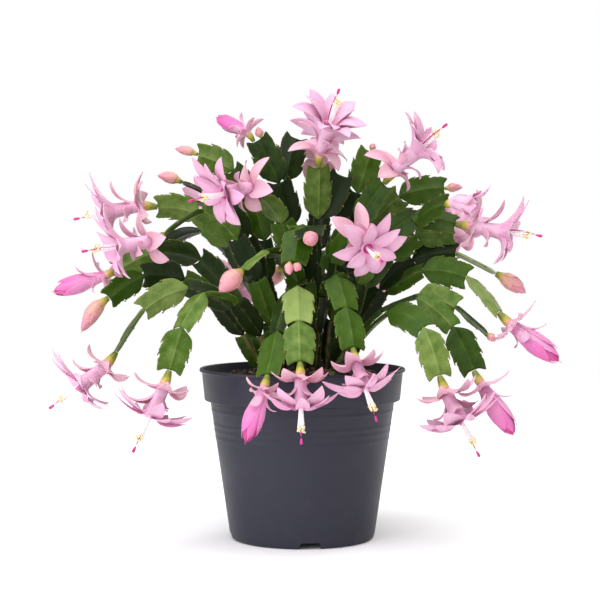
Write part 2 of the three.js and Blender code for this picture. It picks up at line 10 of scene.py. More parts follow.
import logging
import math
from collections.abc import Callable
from dataclasses import dataclass, field
from enum import Enum, IntEnum
from functools import partial

import bmesh
import bpy
import numpy as np
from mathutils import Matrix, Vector

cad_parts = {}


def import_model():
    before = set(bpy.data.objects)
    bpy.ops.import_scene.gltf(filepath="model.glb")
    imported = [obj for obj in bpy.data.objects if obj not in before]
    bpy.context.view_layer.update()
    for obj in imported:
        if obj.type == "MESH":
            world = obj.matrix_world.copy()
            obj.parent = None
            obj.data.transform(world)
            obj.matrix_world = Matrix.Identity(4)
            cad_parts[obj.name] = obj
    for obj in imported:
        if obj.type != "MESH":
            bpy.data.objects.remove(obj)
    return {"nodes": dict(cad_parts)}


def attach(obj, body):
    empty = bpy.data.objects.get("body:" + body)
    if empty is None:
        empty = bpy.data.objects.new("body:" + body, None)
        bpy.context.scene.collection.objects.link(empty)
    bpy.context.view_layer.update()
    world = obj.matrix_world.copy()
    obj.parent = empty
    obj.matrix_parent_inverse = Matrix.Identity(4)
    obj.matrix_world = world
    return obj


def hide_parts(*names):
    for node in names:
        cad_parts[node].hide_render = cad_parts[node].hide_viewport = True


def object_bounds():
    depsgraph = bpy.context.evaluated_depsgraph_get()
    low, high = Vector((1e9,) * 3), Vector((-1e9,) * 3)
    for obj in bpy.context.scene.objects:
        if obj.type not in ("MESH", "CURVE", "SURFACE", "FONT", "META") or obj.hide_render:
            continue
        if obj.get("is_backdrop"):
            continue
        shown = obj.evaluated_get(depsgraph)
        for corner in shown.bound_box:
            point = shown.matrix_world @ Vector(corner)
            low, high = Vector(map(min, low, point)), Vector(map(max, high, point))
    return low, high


log = logging.getLogger("cactus")

Array = np.ndarray
Triple = tuple[float, float, float]

MM = 0.001
EAST, NORTH, UP = np.eye(3)  # +X, +Y and +Z
GAP = 0.3  # between pieces that touch
SAME = 2e-6  # metres within which points are one


# -------------------- numbers and curves


def draw(seed: float) -> float:
    """Returns the repeatable draw between -1 and 1 that belongs to a seed."""
    wave = math.sin(seed * 12.9898 + 4.1414) * 43758.5453
    return 2.0 * (wave - math.floor(wave)) - 1.0


def unit(vectors: Array) -> Array:
    """Returns vectors, one or a row of them, at length 1."""
    return vectors / np.linalg.norm(vectors, axis=-1, keepdims=True)


def turned(vectors: Array, axis: Array, degrees: Array | float) -> Array:
    """Turns vectors about an axis.

    Formula: v cos a + (axis x v) sin a + axis (axis . v)(1 - cos a).

    Args:
        vectors: One vector or a row of them.
        axis: The unit axis, one or a row.
        degrees: The angle, one or a column.

    Returns:
        The turned vectors.
    """
    angle = np.radians(degrees)
    along = np.sum(vectors * axis, axis=-1, keepdims=True)
    sideways = np.cross(axis, vectors) * np.sin(angle)
    return vectors * np.cos(angle) + sideways + axis * along * (1 - np.cos(angle))


def spoke(first: Array, second: Array, angles: Array | float) -> Array:
    """Returns first * cos a + second * sin a: the way out from a middle line at angles round it."""
    return first * np.cos(angles) + second * np.sin(angles)


def curve_through(at: Array, places: Array, values: Array) -> Array:
    """Reads a smooth curve through given values.

    Formula: on each stretch a cubic with the stretch's end values, and with slopes there that are the mean of
    the slopes of the straight lines on both sides.

    Args:
        at: Where to read it.
        places: Rising places of the given values.
        values: The values there.

    Returns:
        The curve at those places.
    """
    places = np.asarray(places, float)
    values = np.asarray(values, float)
    slopes = np.gradient(values, places)
    i = np.clip(np.searchsorted(places, at, side="right") - 1, 0, len(places) - 2)
    step = places[i + 1] - places[i]
    t = np.clip((at - places[i]) / step, 0.0, 1.0)
    rise = t * t * (3 - 2 * t)
    first = t * (1 - t) ** 2 * slopes[i] * step
    last = t * t * (t - 1) * slopes[i + 1] * step
    return values[i] * (1 - rise) + values[i + 1] * rise + first + last


def smooth_step(low: float, high: float, at: Array) -> Array:
    """Returns 0 below low, 1 above high and 3t^2 - 2t^3 between."""
    t = np.clip((at - low) / (high - low), 0.0, 1.0)
    return t * t * (3 - 2 * t)


def ends_at(at: Array) -> Array:
    """Returns 1 over most of 0 to 1, falling to 0 at both ends: the root of 1 - (2t - 1)^8."""
    return np.sqrt(np.clip(1 - (2 * at - 1) ** 8, 0, 1))


def rough(points: Array, wavelength: float, seed: int, waves: int = 18) -> Array:
    """Reads a bumpy field of about -1 to 1 at points.

    Formula: the mean of sine waves of like length that run in seeded directions, times 2.

    Args:
        points: Points in millimetres, the last axis being x, y and z.
        wavelength: The usual length of a bump.
        seed: Picks the field.
        waves: How many sine waves are added.

    Returns:
        One value for each point.
    """
    dice = np.random.default_rng(seed)
    ways = unit(dice.normal(size=(waves, 3)))
    lengths = wavelength * dice.uniform(0.7, 1.5, waves)
    phases = dice.uniform(0, 2 * np.pi, waves)
    angles = points @ (ways / lengths[:, None]).T * 2 * np.pi + phases
    return 2.0 * np.sin(angles).mean(axis=-1)


# -------------------- skins


def join_faces(top: Array, bottom: Array) -> Array:
    """Joins two faces of a thin thing into rings.

    Args:
        top: Rows and columns of points of one face.
        bottom: The other face, the same way round, equal to the top at both outer columns.

    Returns:
        Rows of closed rings that run over the top and back along the bottom.
    """
    return np.concatenate([top, bottom[:, -2:0:-1]], axis=1)


def face_marks(shares: Array, across: Array) -> Array:
    """Works out the surface marks of a thin thing whose faces are joined.

    Args:
        shares: The share of the length at each row.
        across: Places from 1 to -1 over the top, one for each column of a face.

    Returns:
        Rows of (share, 0 to 1 across), with one more column than the rings have, which closes them.
    """
    ring = np.concatenate([across, across[-2:0:-1], across[:1]])
    marks = np.empty((len(shares), len(ring), 2))
    marks[..., 0] = np.clip(shares, 0, 1)[:, None]
    marks[..., 1] = (ring[None, :] + 1) / 2
    return marks


def round_marks(rows: Array, columns: int) -> Array:
    """Works out the surface marks of a round thing.

    Args:
        rows: The value of each ring.
        columns: Points in a ring.

    Returns:
        Rows of (value, 0 to 1 round), with one more column than the rings have, which closes them.
    """
    marks = np.empty((len(rows), columns + 1, 2))
    marks[..., 0] = rows[:, None]
    marks[..., 1] = np.linspace(0, 1, columns + 1)[None, :]
    return marks


class Skin:
    """Collects surfaces made of closed rings and makes one mesh of them.

    The rings run counter-clockwise as seen from the far end, so that the faces point out.
    """

    def __init__(self) -> None:
        """Starts an empty skin."""
        self.points: list[Array] = []
        self.corners: list[Array] = []
        self.marks: list[Array] = []
        self.finishes: list[Array] = []
        self.tones: list[Array] = []
        self.ages: list[Array] = []
        self.count = 0

    def add(
        self, points: Array, marks: Array, finish: int = 0, tone: float | Array = 0.5, age: float = 0.0
    ) -> None:
        """Adds one surface.

        Args:
            points: Rows and columns of points in millimetres, each row a ring.
            marks: Rows and columns + 1 of surface marks.
            finish: Which of the piece's finishes it takes.
            tone: A value from 0 to 1 that its finish may use for its shade, or one for each row.
            age: A value from 0, young, to 1, old.
        """
        rows, columns = points.shape[:2]
        index = self.count + np.arange(rows * columns).reshape(rows, columns)
        index = np.concatenate([index, index[:, :1]], axis=1)
        for grid, kept in ((index, self.corners), (marks, self.marks)):
            faces = np.stack([grid[:-1, :-1], grid[:-1, 1:], grid[1:, 1:], grid[1:, :-1]], axis=2)
            kept.append(faces.reshape((-1, 4) + grid.shape[2:]))
        self.points.append(points.reshape(-1, 3))
        self.finishes.append(np.full((rows - 1) * columns, finish))
        self.tones.append(np.broadcast_to(np.reshape(tone, (-1, 1)), (rows, columns)).ravel())
        self.ages.append(np.full(rows * columns, age))
        self.count += rows * columns

    def make(self, name: str, finishes: list[bpy.types.Material], slot: str, *nodes: str) -> bpy.types.Object:
        """Makes the piece and ties it to the frame.

        Args:
            name: The piece's name.
            finishes: Its materials, in the order that the surfaces number them.
            slot: The record's material slot.
            nodes: The solids that it stands for.

        Returns:
            The piece.
        """
        mesh = bpy.data.meshes.new(name)
        corners = np.concatenate(self.corners)
        mesh.vertices.add(self.count)
        mesh.vertices.foreach_set("co", (np.concatenate(self.points) * MM).astype(np.float32).ravel())
        mesh.loops.add(corners.size)
        mesh.loops.foreach_set("vertex_index", corners.astype(np.int32).ravel())
        mesh.polygons.add(len(corners))
        mesh.polygons.foreach_set("loop_start", np.arange(0, corners.size, 4, dtype=np.int32))
        mesh.polygons.foreach_set("material_index", np.concatenate(self.finishes).astype(np.int32))
        mesh.update(calc_edges=True)
        layer = mesh.uv_layers.new(name="surface")
        layer.uv.foreach_set("vector", np.concatenate(self.marks).astype(np.float32).ravel())
        for title, values in (("tone", self.tones), ("age", self.ages)):
            attribute = mesh.attributes.new(title, "FLOAT", "POINT")
            attribute.data.foreach_set("value", np.concatenate(values).astype(np.float32))
        close_seams(mesh)
        return place(name, mesh, finishes, slot, *nodes)


def close_seams(mesh: bpy.types.Mesh) -> None:
    """Merges the points of a mesh that lie on each other, and shades it smooth.

    Args:
        mesh: The mesh, in metres.
    """
    work = bmesh.new()
    work.from_mesh(mesh)
    bmesh.ops.remove_doubles(work, verts=work.verts, dist=SAME)
    bmesh.ops.dissolve_degenerate(work, edges=work.edges, dist=SAME / 20)
    work.to_mesh(mesh)
    work.free()
    mesh.shade_smooth()


def place(name: str, mesh: bpy.types.Mesh, finishes: list, slot: str, *nodes: str) -> bpy.types.Object:
    """Puts a mesh in the scene as a piece of the object.

    Args:
        name: The piece's name.
        mesh: Its mesh, with its place in it.
        finishes: Its materials.
        slot: The record's material slot; not used.
        nodes: The solids that it stands for.

    Returns:
        The piece.
    """
    piece = bpy.data.objects.new(name, mesh)
    bpy.context.scene.collection.objects.link(piece)
    for finish in finishes:
        mesh.materials.append(finish)
    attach(piece, "root")
    if nodes:
        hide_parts(*nodes)
    log.info("%s: %d faces", name, len(mesh.polygons))
    return piece


def tube(path: Array, radii: Array, sides: int = 6) -> Array:
    """Works out rings round a path.

    Formula: a point is the path's point + radius * (cos a * first + sin a * second), where first is a fixed
    vector made square to the path's way and second is the way x first.

    Args:
        path: Points of the middle line.
        radii: The radius at each.
        sides: Points in a ring.

    Returns:
        Rows of rings.
    """
    way = unit(np.gradient(path, axis=0))
    guide = np.eye(3)[np.argmin(np.abs(way).max(axis=0))]
    first = unit(guide - way * (way @ guide)[:, None])
    second = np.cross(way, first)
    angles = np.arange(sides) * 2 * np.pi / sides
    return path[:, None] + spoke(first[:, None], second[:, None], angles[:, None]) * radii[:, None, None]


def knob(centre: Array, way: Array, length: float, width: float, rows: int = 7, sides: int = 8) -> Array:
    """Works out a closed egg.

    Formula: rings of radius width / 2 * sin a at length / 2 * (1 - cos a) along its way, for a from 0 to pi.

    Args:
        centre: Its middle.
        way: The direction of its length.
        length: From end to end.
        width: Across.
        rows: Rings from end to end.
        sides: Points in a ring.

    Returns:
        Rows of rings.
    """
    angle = np.linspace(0, np.pi, rows)
    path = centre - way * np.cos(angle)[:, None] * length / 2
    path[0] -= way * 1e-4
    path[-1] += way * 1e-4
    return tube(path, width / 2 * np.sin(angle), sides)


# -------------------- layout


class Part(IntEnum):
    """The parts of a flower that differ in finish, in the order of its finishes."""

    PETAL = 0
    OVARY = 1
    FILAMENT = 2
    ANTHER = 3
    STYLE = 4


class Form(Enum):
    """How far a flower has opened."""

    OPEN = "open"
    CLOSED = "closed"
    HALF = "half"


@dataclass(frozen=True)
class Bloom:
    """A flower on the tip of an arch: the way it faces, its turn about that way in degrees, its share of the
    full size, and how far it stands aside from the middle of the tip."""

    form: Form
    points: Triple
    spin: float = 0.0
    size: float = 1.0
    aside: float = 0.0


@dataclass(frozen=True)
class Bud:
    """A bud on the tip of an arch: its length and width, the way it points, and how far it stands aside."""

    shape: tuple[float, float]
    points: Triple
    aside: float = 0.0


@dataclass(frozen=True)
class Arch:
    """A run of segments that bends over a point to its end, and what its tip bears.

    `turn` gives the degrees that each segment is turned about its own length, the last value holding for the
    rest. `grows_from` is the (arch, joint) that it forks from; without it the arch rises from the foot.
    """

    over: Triple
    to: Triple
    count: int
    turn: tuple[float, ...]
    grows_from: tuple[int, int] | None = None
    bears: tuple[Bloom | Bud, ...] = ()


@dataclass(frozen=True)
class Stem:
    """A leafy stem: where its foot stands, and its arches."""

    foot: tuple[float, float]
    arches: tuple[Arch, ...]


STEMS: dict[str, Stem] = {
    "front": Stem((-4, -16), (
        Arch((-4, -45, 214), (-1.5, -84, 118), 5, (70, 40, 15, 0), bears=(
            Bloom(Form.OPEN, (0.02, -0.2, -0.98), spin=30, size=0.9),
        )),
        # Bent 6.5 mm further back than its solid, to keep its edge behind the leaf in front of it.
        Arch((-12, -59.5, 149), (-20.5, -77, 110), 2, (0,), grows_from=(0, 3), bears=(
            Bloom(Form.CLOSED, (-0.32, -0.3, -0.9), spin=30, size=0.88),
        )),
    )),
    "front_right": Stem((9, -15), (
        Arch((16, -42, 218), (29.5, -80, 126), 5, (60, 40, 15, 0), bears=(
            Bloom(Form.OPEN, (0.32, -0.3, -0.9), spin=30, size=0.86),
        )),
        Arch((18, -28, 194), (28, -40, 187), 3, (30, 60, 80), grows_from=(0, 1), bears=(
            Bloom(Form.OPEN, (0.36, -0.84, -0.4), size=0.92),
        )),
    )),
    "front_inner": Stem((1, -4), (
        Arch((6, -22, 245), (-5, -70, 176), 5, (10, 0), bears=(
            Bud((7, 4.8), (-0.85, -0.1, -0.5), aside=-2.6),
            Bud((10, 4.8), (0.35, -0.3, -0.88), aside=2.6),
        )),
        Arch((-12, -36, 199), (-36, -62, 171), 3, (10, 15, 20), grows_from=(0, 2), bears=(
            Bud((21, 11), (-0.62, -0.3, -0.62)),
        )),
        Arch((5, -62, 200), (4.5, -77, 191), 1, (10,), grows_from=(0, 4), bears=(
            Bud((11, 8), (0, -0.98, -0.2)),
        )),
    )),
    "left_low": Stem((-16, -11), (
        Arch((-58, -46, 207), (-80, -56, 111), 5, (60, 80, 10, -20, -55), bears=(
            Bloom(Form.OPEN, (-0.42, -0.12, -0.9), spin=15),
        )),
        Arch((-85, -22, 182), (-115, -28, 120), 3, (70, 75, 5), grows_from=(0, 2), bears=(
            Bloom(Form.OPEN, (-0.78, -0.15, -0.6), spin=45),
        )),
    )),
    "left_mid": Stem((-24, 0), (
        Arch((-75, -8, 199), (-121, -15, 153), 5, (80, 75, 80, 80, 70), bears=(
            Bud((28, 9), (-0.5, -0.05, -0.86)),
        )),
        Arch((-64, 14, 209), (-118, 10, 170), 4, (60, 70, 60, 75), grows_from=(0, 1), bears=(
            Bloom(Form.CLOSED, (-0.95, -0.05, -0.3), size=0.9),
        )),
    )),
    "left_upper": Stem((-12, -1), (
        Arch((-45, -14, 245), (-84, -33, 193), 5, (80, 70, 60, 70, 10), bears=(
            Bloom(Form.OPEN, (-0.92, -0.35, -0.15), spin=20),
        )),
        Arch((-60, 10, 219), (-92, 7, 210), 3, (70, 75, 60), grows_from=(0, 2), bears=(
            Bloom(Form.OPEN, (-0.95, -0.1, -0.2), spin=50),
        )),
    )),
    "top_left": Stem((-16, 12), (
        Arch((-25, 9, 215), (-77, 15, 226), 5, (60, 70, 70, 60, 5), bears=(
            Bud((17, 7), (-1, 0, 0.03)),
        )),
        Arch((-72, 20, 217), (-85, 23, 211), 1, (10,), grows_from=(0, 4), bears=(
            Bud((9, 4.4), (-0.8, 0, 0.4)),
        )),
        Arch((-26, 16, 240), (-67, 20, 244), 4, (60, 80, 70, 75), grows_from=(0, 2), bears=(
            Bud((16, 5.6), (-1, 0, 0.05)),
        )),
    )),
    "top": Stem((-3, 5), (
        Arch((1, 3, 210), (-28, -2, 252), 5, (60, 80, 75, 80, 80), bears=(
            Bloom(Form.CLOSED, (-0.8, 0.5, 0.4), size=0.7, aside=2.8),
            Bud((8, 4.8), (0.25, -0.6, 0.75), aside=-2.6),
        )),
        Arch((-10, 8, 240), (-4, 11, 254), 1, (50,), grows_from=(0, 4)),
        Arch((-6, -16, 205), (-25, -27, 216), 4, (70, 60, 40, 10), grows_from=(0, 1), bears=(
            Bloom(Form.OPEN, (-0.82, -0.52, -0.24), spin=30),
        )),
    )),
    "top_right": Stem((9, 7), (
        Arch((9, 0, 190), (10, -11, 234), 4, (60, 70, 75, 12), bears=(
            Bloom(Form.OPEN, (0.3, -0.5, 0.82)),
        )),
        Arch((18, 3, 212), (25, 4, 230), 1, (70,), grows_from=(0, 3)),
        Arch((26, 16, 190), (44, 15, 246), 4, (70, 60, 80, 75), grows_from=(0, 1), bears=(
            Bud((6, 4), (0.9, 0, -0.3)),
        )),
    )),
    "right_upper": Stem((16, 1), (
        Arch((20, 2, 190), (51, -12, 224), 4, (70, 80, 80, 75), bears=(
            Bloom(Form.OPEN, (0.74, -0.26, 0.62), spin=25),
        )),
        Arch((50, 8, 228), (91, 14, 222), 3, (70, 75, 80), grows_from=(0, 2), bears=(
            Bud((12, 5), (0.98, 0, -0.15)),
        )),
    )),
    "right": Stem((22, -8), (
        Arch((42, -13, 225), (95, -16, 199), 5, (70, 70, 66, 66, 50), bears=(
            Bloom(Form.OPEN, (0.97, -0.12, -0.18), spin=10),
        )),
        Arch((80, -22, 211), (87, -38, 210), 1, (60,), grows_from=(0, 4), bears=(
            Bloom(Form.HALF, (0.93, -0.2, -0.3)),
        )),
        Arch((62, 8, 200), (96, 2, 194), 3, (60, 60, 80), grows_from=(0, 2)),
    )),
    "right_mid": Stem((25, 5), (
        Arch((62, 4, 213), (122, -3, 168), 5, (70, 75, 60, 80, 5), bears=(
            Bud((23, 9.5), (0.8, -0.05, -0.6)),
        )),
        Arch((92, -24, 192), (121.4, -24, 144.4), 3, (50, 75, 5), grows_from=(0, 2), bears=(
            Bloom(Form.CLOSED, (0.8, -0.05, -0.6), spin=20),
        )),
    )),
    "right_low": Stem((19, -16), (
        Arch((63, -32, 187), (113, -36, 132), 5, (60, 10, 5, 80, 5), bears=(
            Bud((7, 4.4), (0.5, -0.2, -0.85)),
        )),
        Arch((90, -42, 148), (104, -46, 110), 2, (70, 60), grows_from=(0, 3), bears=(
            Bloom(Form.CLOSED, (0.54, -0.1, -0.84), spin=45, size=0.95),
        )),
        Arch((68, -54, 174), (82, -60, 108), 3, (20, 60, 40), grows_from=(0, 1), bears=(
            Bloom(Form.OPEN, (0.46, -0.12, -0.88), spin=5),
        )),
    )),
    "back": Stem((1, 21), (
        Arch((-4, 53, 212), (2, 80, 130), 5, (60, 40, 10, 0), bears=(
            Bloom(Form.OPEN, (0.1, 0.4, -0.9), spin=30, size=0.9),
        )),
        Arch((-8, 58, 206), (-14, 86, 172), 3, (50, 20, 10), grows_from=(0, 2), bears=(
            Bud((22, 9), (-0.4, 0.5, -0.75)),
        )),
    )),
    "back_left": Stem((-14, 20), (
        Arch((-42, 48, 210), (-42, 62, 172), 5, (60, 40, 20, 10, 30), bears=(
            Bloom(Form.OPEN, (-0.12, 0.85, -0.45), spin=45),
        )),
        Arch((-62, 50, 222), (-94, 54, 184), 3, (50, 30, 10), grows_from=(0, 2), bears=(
            Bloom(Form.CLOSED, (-0.8, 0.35, -0.4), size=0.9),
        )),
    )),
    "back_right": Stem((19, 17), (
        Arch((44, 48, 210), (38, 66, 168), 5, (60, 40, 20, 10, 30), bears=(
            Bloom(Form.OPEN, (0.05, 0.85, -0.45), spin=50),
        )),
        Arch((60, 44, 222), (80, 46, 200), 3, (50, 40, 60), grows_from=(0, 2), bears=(
            Bloom(Form.OPEN, (0.6, 0.72, -0.2), spin=15),
        )),
    )),
    "back_upper": Stem((8, 14), (
        Arch((12, 32, 200), (12, 46, 232), 5, (50, 30, 60, 40), bears=(
            Bloom(Form.OPEN, (0.15, 0.6, 0.78)),
        )),
        Arch((-16, 44, 216), (-38, 52, 212), 3, (40, 30), grows_from=(0, 2), bears=(
            Bloom(Form.OPEN, (-0.5, 0.8, 0.05), spin=40),
        )),
    )),
}


# -------------------- growth of the stems


@dataclass(frozen=True)
class SegmentRule:
    """Sizes that all segments share."""

    width: float = 19.4  # across the teeth
    worn_width: float = 15.0  # the oldest segments, next to the foot
    rim: float = 1.0  # thickness near the toothed rim
    rib: float = 2.6  # thickness along the middle
    ridge: float = 0.35  # how far the midrib stands up from the rest
    groove: float = 0.14  # depth of the groove on both sides of it
    sunk: float = 1.3  # how far a neck reaches into the segment that it grew from
    sway: float = 9.0  # most degrees that a segment turns by chance
    fork_shift: float = 4.5  # from the middle of a tip to the neck of a second segment there
    foot_height: float = 107.0  # where the first segment starts, over the foot
    swell_width: float = 2.6  # reach of the thick middle, of the midrib and of the groove
    ridge_width: float = 0.7
    groove_width: float = 1.2
    groove_place: float = 3.0  # from the midrib


SEGMENT = SegmentRule()
STEM_SEEDS = 37  # from the seeds of one stem's segments to those of the next
ARCH_SEEDS = 11  # and from arch to arch


@dataclass(frozen=True)
class Outline:
    """Half the outline of a segment, from its neck to its tip.

    `stretches` are (share of the length, share of the half width, outward bow, steps), each from the end of
    the last to there. The tip's corners are horns that reach `horn` of the length past the tip.
    """

    neck: float
    stretches: tuple[tuple[float, float, float, int], ...]
    horn: float
    flat_tip: float

    def rows(self) -> tuple[Array, Array]:
        """Works out the shares of length and of half width, row by row.

        Formula: on each stretch both run straight, and the width adds bow * sin(pi t).

        Returns:
            The shares of the length, and of the half width.
        """
        lengths = []
        widths = []
        last_length, last_width = 0.0, self.neck
        for length, width, bow, steps in self.stretches:
            t = np.arange(steps) / steps
            lengths.append(last_length + (length - last_length) * t)
            widths.append(last_width + (width - last_width) * t + bow * np.sin(np.pi * t))
            last_length, last_width = length, width
        return np.append(np.concatenate(lengths), last_length), np.append(np.concatenate(widths), last_width)


TOOTHED = Outline(
    neck=0.1,
    stretches=((0.39, 1.0, 0.27, 9), (0.415, 0.87, 0.0, 1), (0.68, 0.98, 0.035, 6), (0.705, 0.83, 0.0, 1),
               (1.0, 0.78, 0.05, 9)),
    horn=0.08,
    flat_tip=0.38,
)
WORN = Outline(
    neck=0.13,
    stretches=((0.34, 0.95, 0.2, 8), (0.36, 0.88, 0.0, 1), (0.66, 0.97, 0.04, 6), (0.68, 0.9, 0.0, 1),
               (1.0, 0.8, 0.05, 8)),
    horn=0.04,
    flat_tip=0.42,
)


class Route:
    """The middle line of an arch: a curve with one control point, read by the share of its length."""

    READINGS = 201  # of its length, from end to end

    def __init__(self, start: Array, over: Array, to: Array) -> None:
        """Measures the curve.

        Args:
            start: Where it starts.
            over: The point that it bends over.
            to: Where it ends.
        """
        self.corners = np.array([start, over, to], float)
        self.shares = np.linspace(0, 1, self.READINGS)
        steps = np.linalg.norm(np.diff(self.at_share(self.shares), axis=0), axis=1)
        self.lengths = np.concatenate([[0.0], np.cumsum(steps)])

    def at_share(self, t: Array) -> Array:
        """Reads points of the curve.

        Formula: (1 - t)^2 start + 2 t (1 - t) over + t^2 end.

        Args:
            t: Places from 0 to 1.

        Returns:
            The points.
        """
        start, over, to = self.corners
        t = np.asarray(t, float)[:, None]
        return start * (1 - t) ** 2 + over * 2 * t * (1 - t) + to * t * t

    def read(self, length_shares: Array) -> tuple[Array, Array]:
        """Reads points and ways at shares of the curve's length.

        Args:
            length_shares: Shares from 0 to 1.

        Returns:
            The points, and the unit ways there.
        """
        t = np.interp(np.asarray(length_shares) * self.lengths[-1], self.lengths, self.shares)
        start, over, to = self.corners
        ways = (over - start) * (1 - t)[:, None] + (to - over) * t[:, None]
        return self.at_share(t), unit(ways)


@dataclass
class Segment:
    """One grown segment: its ends, its way, the way of its width, and where it lies on its arch's route."""

    start: Array
    end: Array
    along: Array
    side: Array
    worn: bool
    route: Route
    shares: tuple[float, float]
    seed: float

    @property
    def half_width(self) -> float:
        """Half of the width across the teeth."""
        return (SEGMENT.worn_width if self.worn else SEGMENT.width) / 2

    @property
    def outline(self) -> Outline:
        """The outline that it takes."""
        return WORN if self.worn else TOOTHED


@dataclass
class GrownArch:
    """The joints and segments of an arch."""

    joints: Array
    segments: list[Segment]
    bears: tuple[Bloom | Bud, ...]


def grow(stem: Stem, number: int) -> list[GrownArch]:
    """Grows a stem as its solid grows.

    Formula: the joints divide an arch's route into equal lengths. A segment's width starts level, square to
    the arch, and is turned about the segment by `turn` and a seeded sway.

    Args:
        stem: The stem's layout.
        number: Its place in the layout, from 1, which seeds its draws.

    Returns:
        Its arches.
    """
    grown: list[GrownArch] = []
    for place_in_stem, arch in enumerate(stem.arches):
        start = np.array([*stem.foot, SEGMENT.foot_height])
        over, to = np.array(arch.over, float), np.array(arch.to, float)
        if arch.grows_from:
            older, joint = arch.grows_from
            side = grown[older].segments[joint - 1].side
            start = grown[older].joints[joint]
            start = start + side * SEGMENT.fork_shift * np.sign(side @ (over - start))
        route = Route(start, over, to)
        joints, _ = route.read(np.linspace(0, 1, arch.count + 1))
        level = unit(np.cross(to - start, UP))
        segments = []
        for i in range(arch.count):
            along = unit(joints[i + 1] - joints[i])
            seed = number * STEM_SEEDS + place_in_stem * ARCH_SEEDS + i
            degrees = arch.turn[min(i, len(arch.turn) - 1)] + SEGMENT.sway * draw(seed)
            side = turned(unit(level - along * (level @ along)), along, degrees)
            # The oldest are worn: the first of a fork, and up to three of an arch that rises from the foot.
            worn = (arch.count > 1 and i == 0) if arch.grows_from else (i < arch.count - 2 and i < 3)
            shares = (i / arch.count, (i + 1) / arch.count)
            segments.append(Segment(joints[i], joints[i + 1], along, side, worn, route, shares, seed))
        grown.append(GrownArch(joints, segments, arch.bears))
    return grown


# -------------------- finishes


Socket = bpy.types.NodeSocket
Feeds = dict[str, Socket]
SMOOTH = {"interpolation_type": "SMOOTHSTEP"}  # of a range: a soft step from its first end to its second
COLOURS = {"data_type": "RGBA", "out": 2}  # of a mix: between the colours that its inputs 6 and 7 get


def linear(code: str) -> tuple[float, float, float, float]:
    """Turns an sRGB hex code into linear light.

    Formula: ((c + 0.055) / 1.055)^2.4 for each channel c, or c / 12.92 where it is dark.

    Args:
        code: Six hex digits after a #.

    Returns:
        Red, green, blue and 1.
    """
    channels = [int(code[i : i + 2], 16) / 255 for i in (1, 3, 5)]
    red, green, blue = (c / 12.92 if c <= 0.04045 else ((c + 0.055) / 1.055) ** 2.4 for c in channels)
    return red, green, blue, 1.0


def scale_for(size: float) -> float:
    """Returns the scale at which a texture on Object coordinates has a pattern of a size in millimetres."""
    return 1 / (size * MM)


def add_node(
    tree: bpy.types.NodeTree, kind: str, *feeds: object, out: int | str = 0, **settings: object
) -> Socket:
    """Adds a node to a tree.

    Args:
        tree: The tree.
        kind: The node's type, without the "ShaderNode" that they all begin with.
        feeds: A value or a socket for each input in order, or one dict of them by the input's name or number.
        out: The name or number of the output that is wanted.
        settings: The node's own settings.

    Returns:
        That output.
    """
    node = tree.nodes.new(f"ShaderNode{kind}")
    for name, value in settings.items():
        setattr(node, name, value)
    inputs = feeds[0] if feeds and isinstance(feeds[0], dict) else dict(enumerate(feeds))
    for key, value in inputs.items():
        if isinstance(value, Socket):
            tree.links.new(value, node.inputs[key])
        else:
            node.inputs[key].default_value = value
    return node.outputs[out]


@dataclass(frozen=True)
class Finish:
    """What every finish has: its name, and the gloss and softness of what it stands for."""

    name: str
    roughness: float = 0.5
    ior: float = 1.45
    specular: float = 0.5
    subsurface: float = 0.0
    depth: float = 1.0  # how far light goes under the surface, in millimetres
    depths: Triple = (1.0, 0.6, 0.7)  # and the shares of that for red, green and blue
    sheen: float = 0.0
    sheen_roughness: float = 0.4

    def make(self) -> bpy.types.Material:
        """Makes the material: a shader with the constants set, fed by the finish's pattern.

        Returns:
            The material.
        """
        material = bpy.data.materials.new(self.name)
        material.use_nodes = True
        tree = material.node_tree
        shader = tree.nodes["Principled BSDF"]
        shader.subsurface_method = "BURLEY"
        constants = {
            "Roughness": self.roughness,
            "IOR": self.ior,
            "Specular IOR Level": self.specular,
            "Subsurface Weight": self.subsurface,
            "Subsurface Scale": self.depth * MM,
            "Subsurface Radius": self.depths,
            "Sheen Weight": self.sheen,
            "Sheen Roughness": self.sheen_roughness,
        }
        for name, value in constants.items():
            shader.inputs[name].default_value = value
        for name, socket in self.pattern(partial(add_node, tree)).items():
            tree.links.new(socket, shader.inputs[name])
        return material

    def pattern(self, add: Callable[..., Socket]) -> Feeds:
        """Adds the nodes of the finish and returns what feeds the shader."""
        raise NotImplementedError


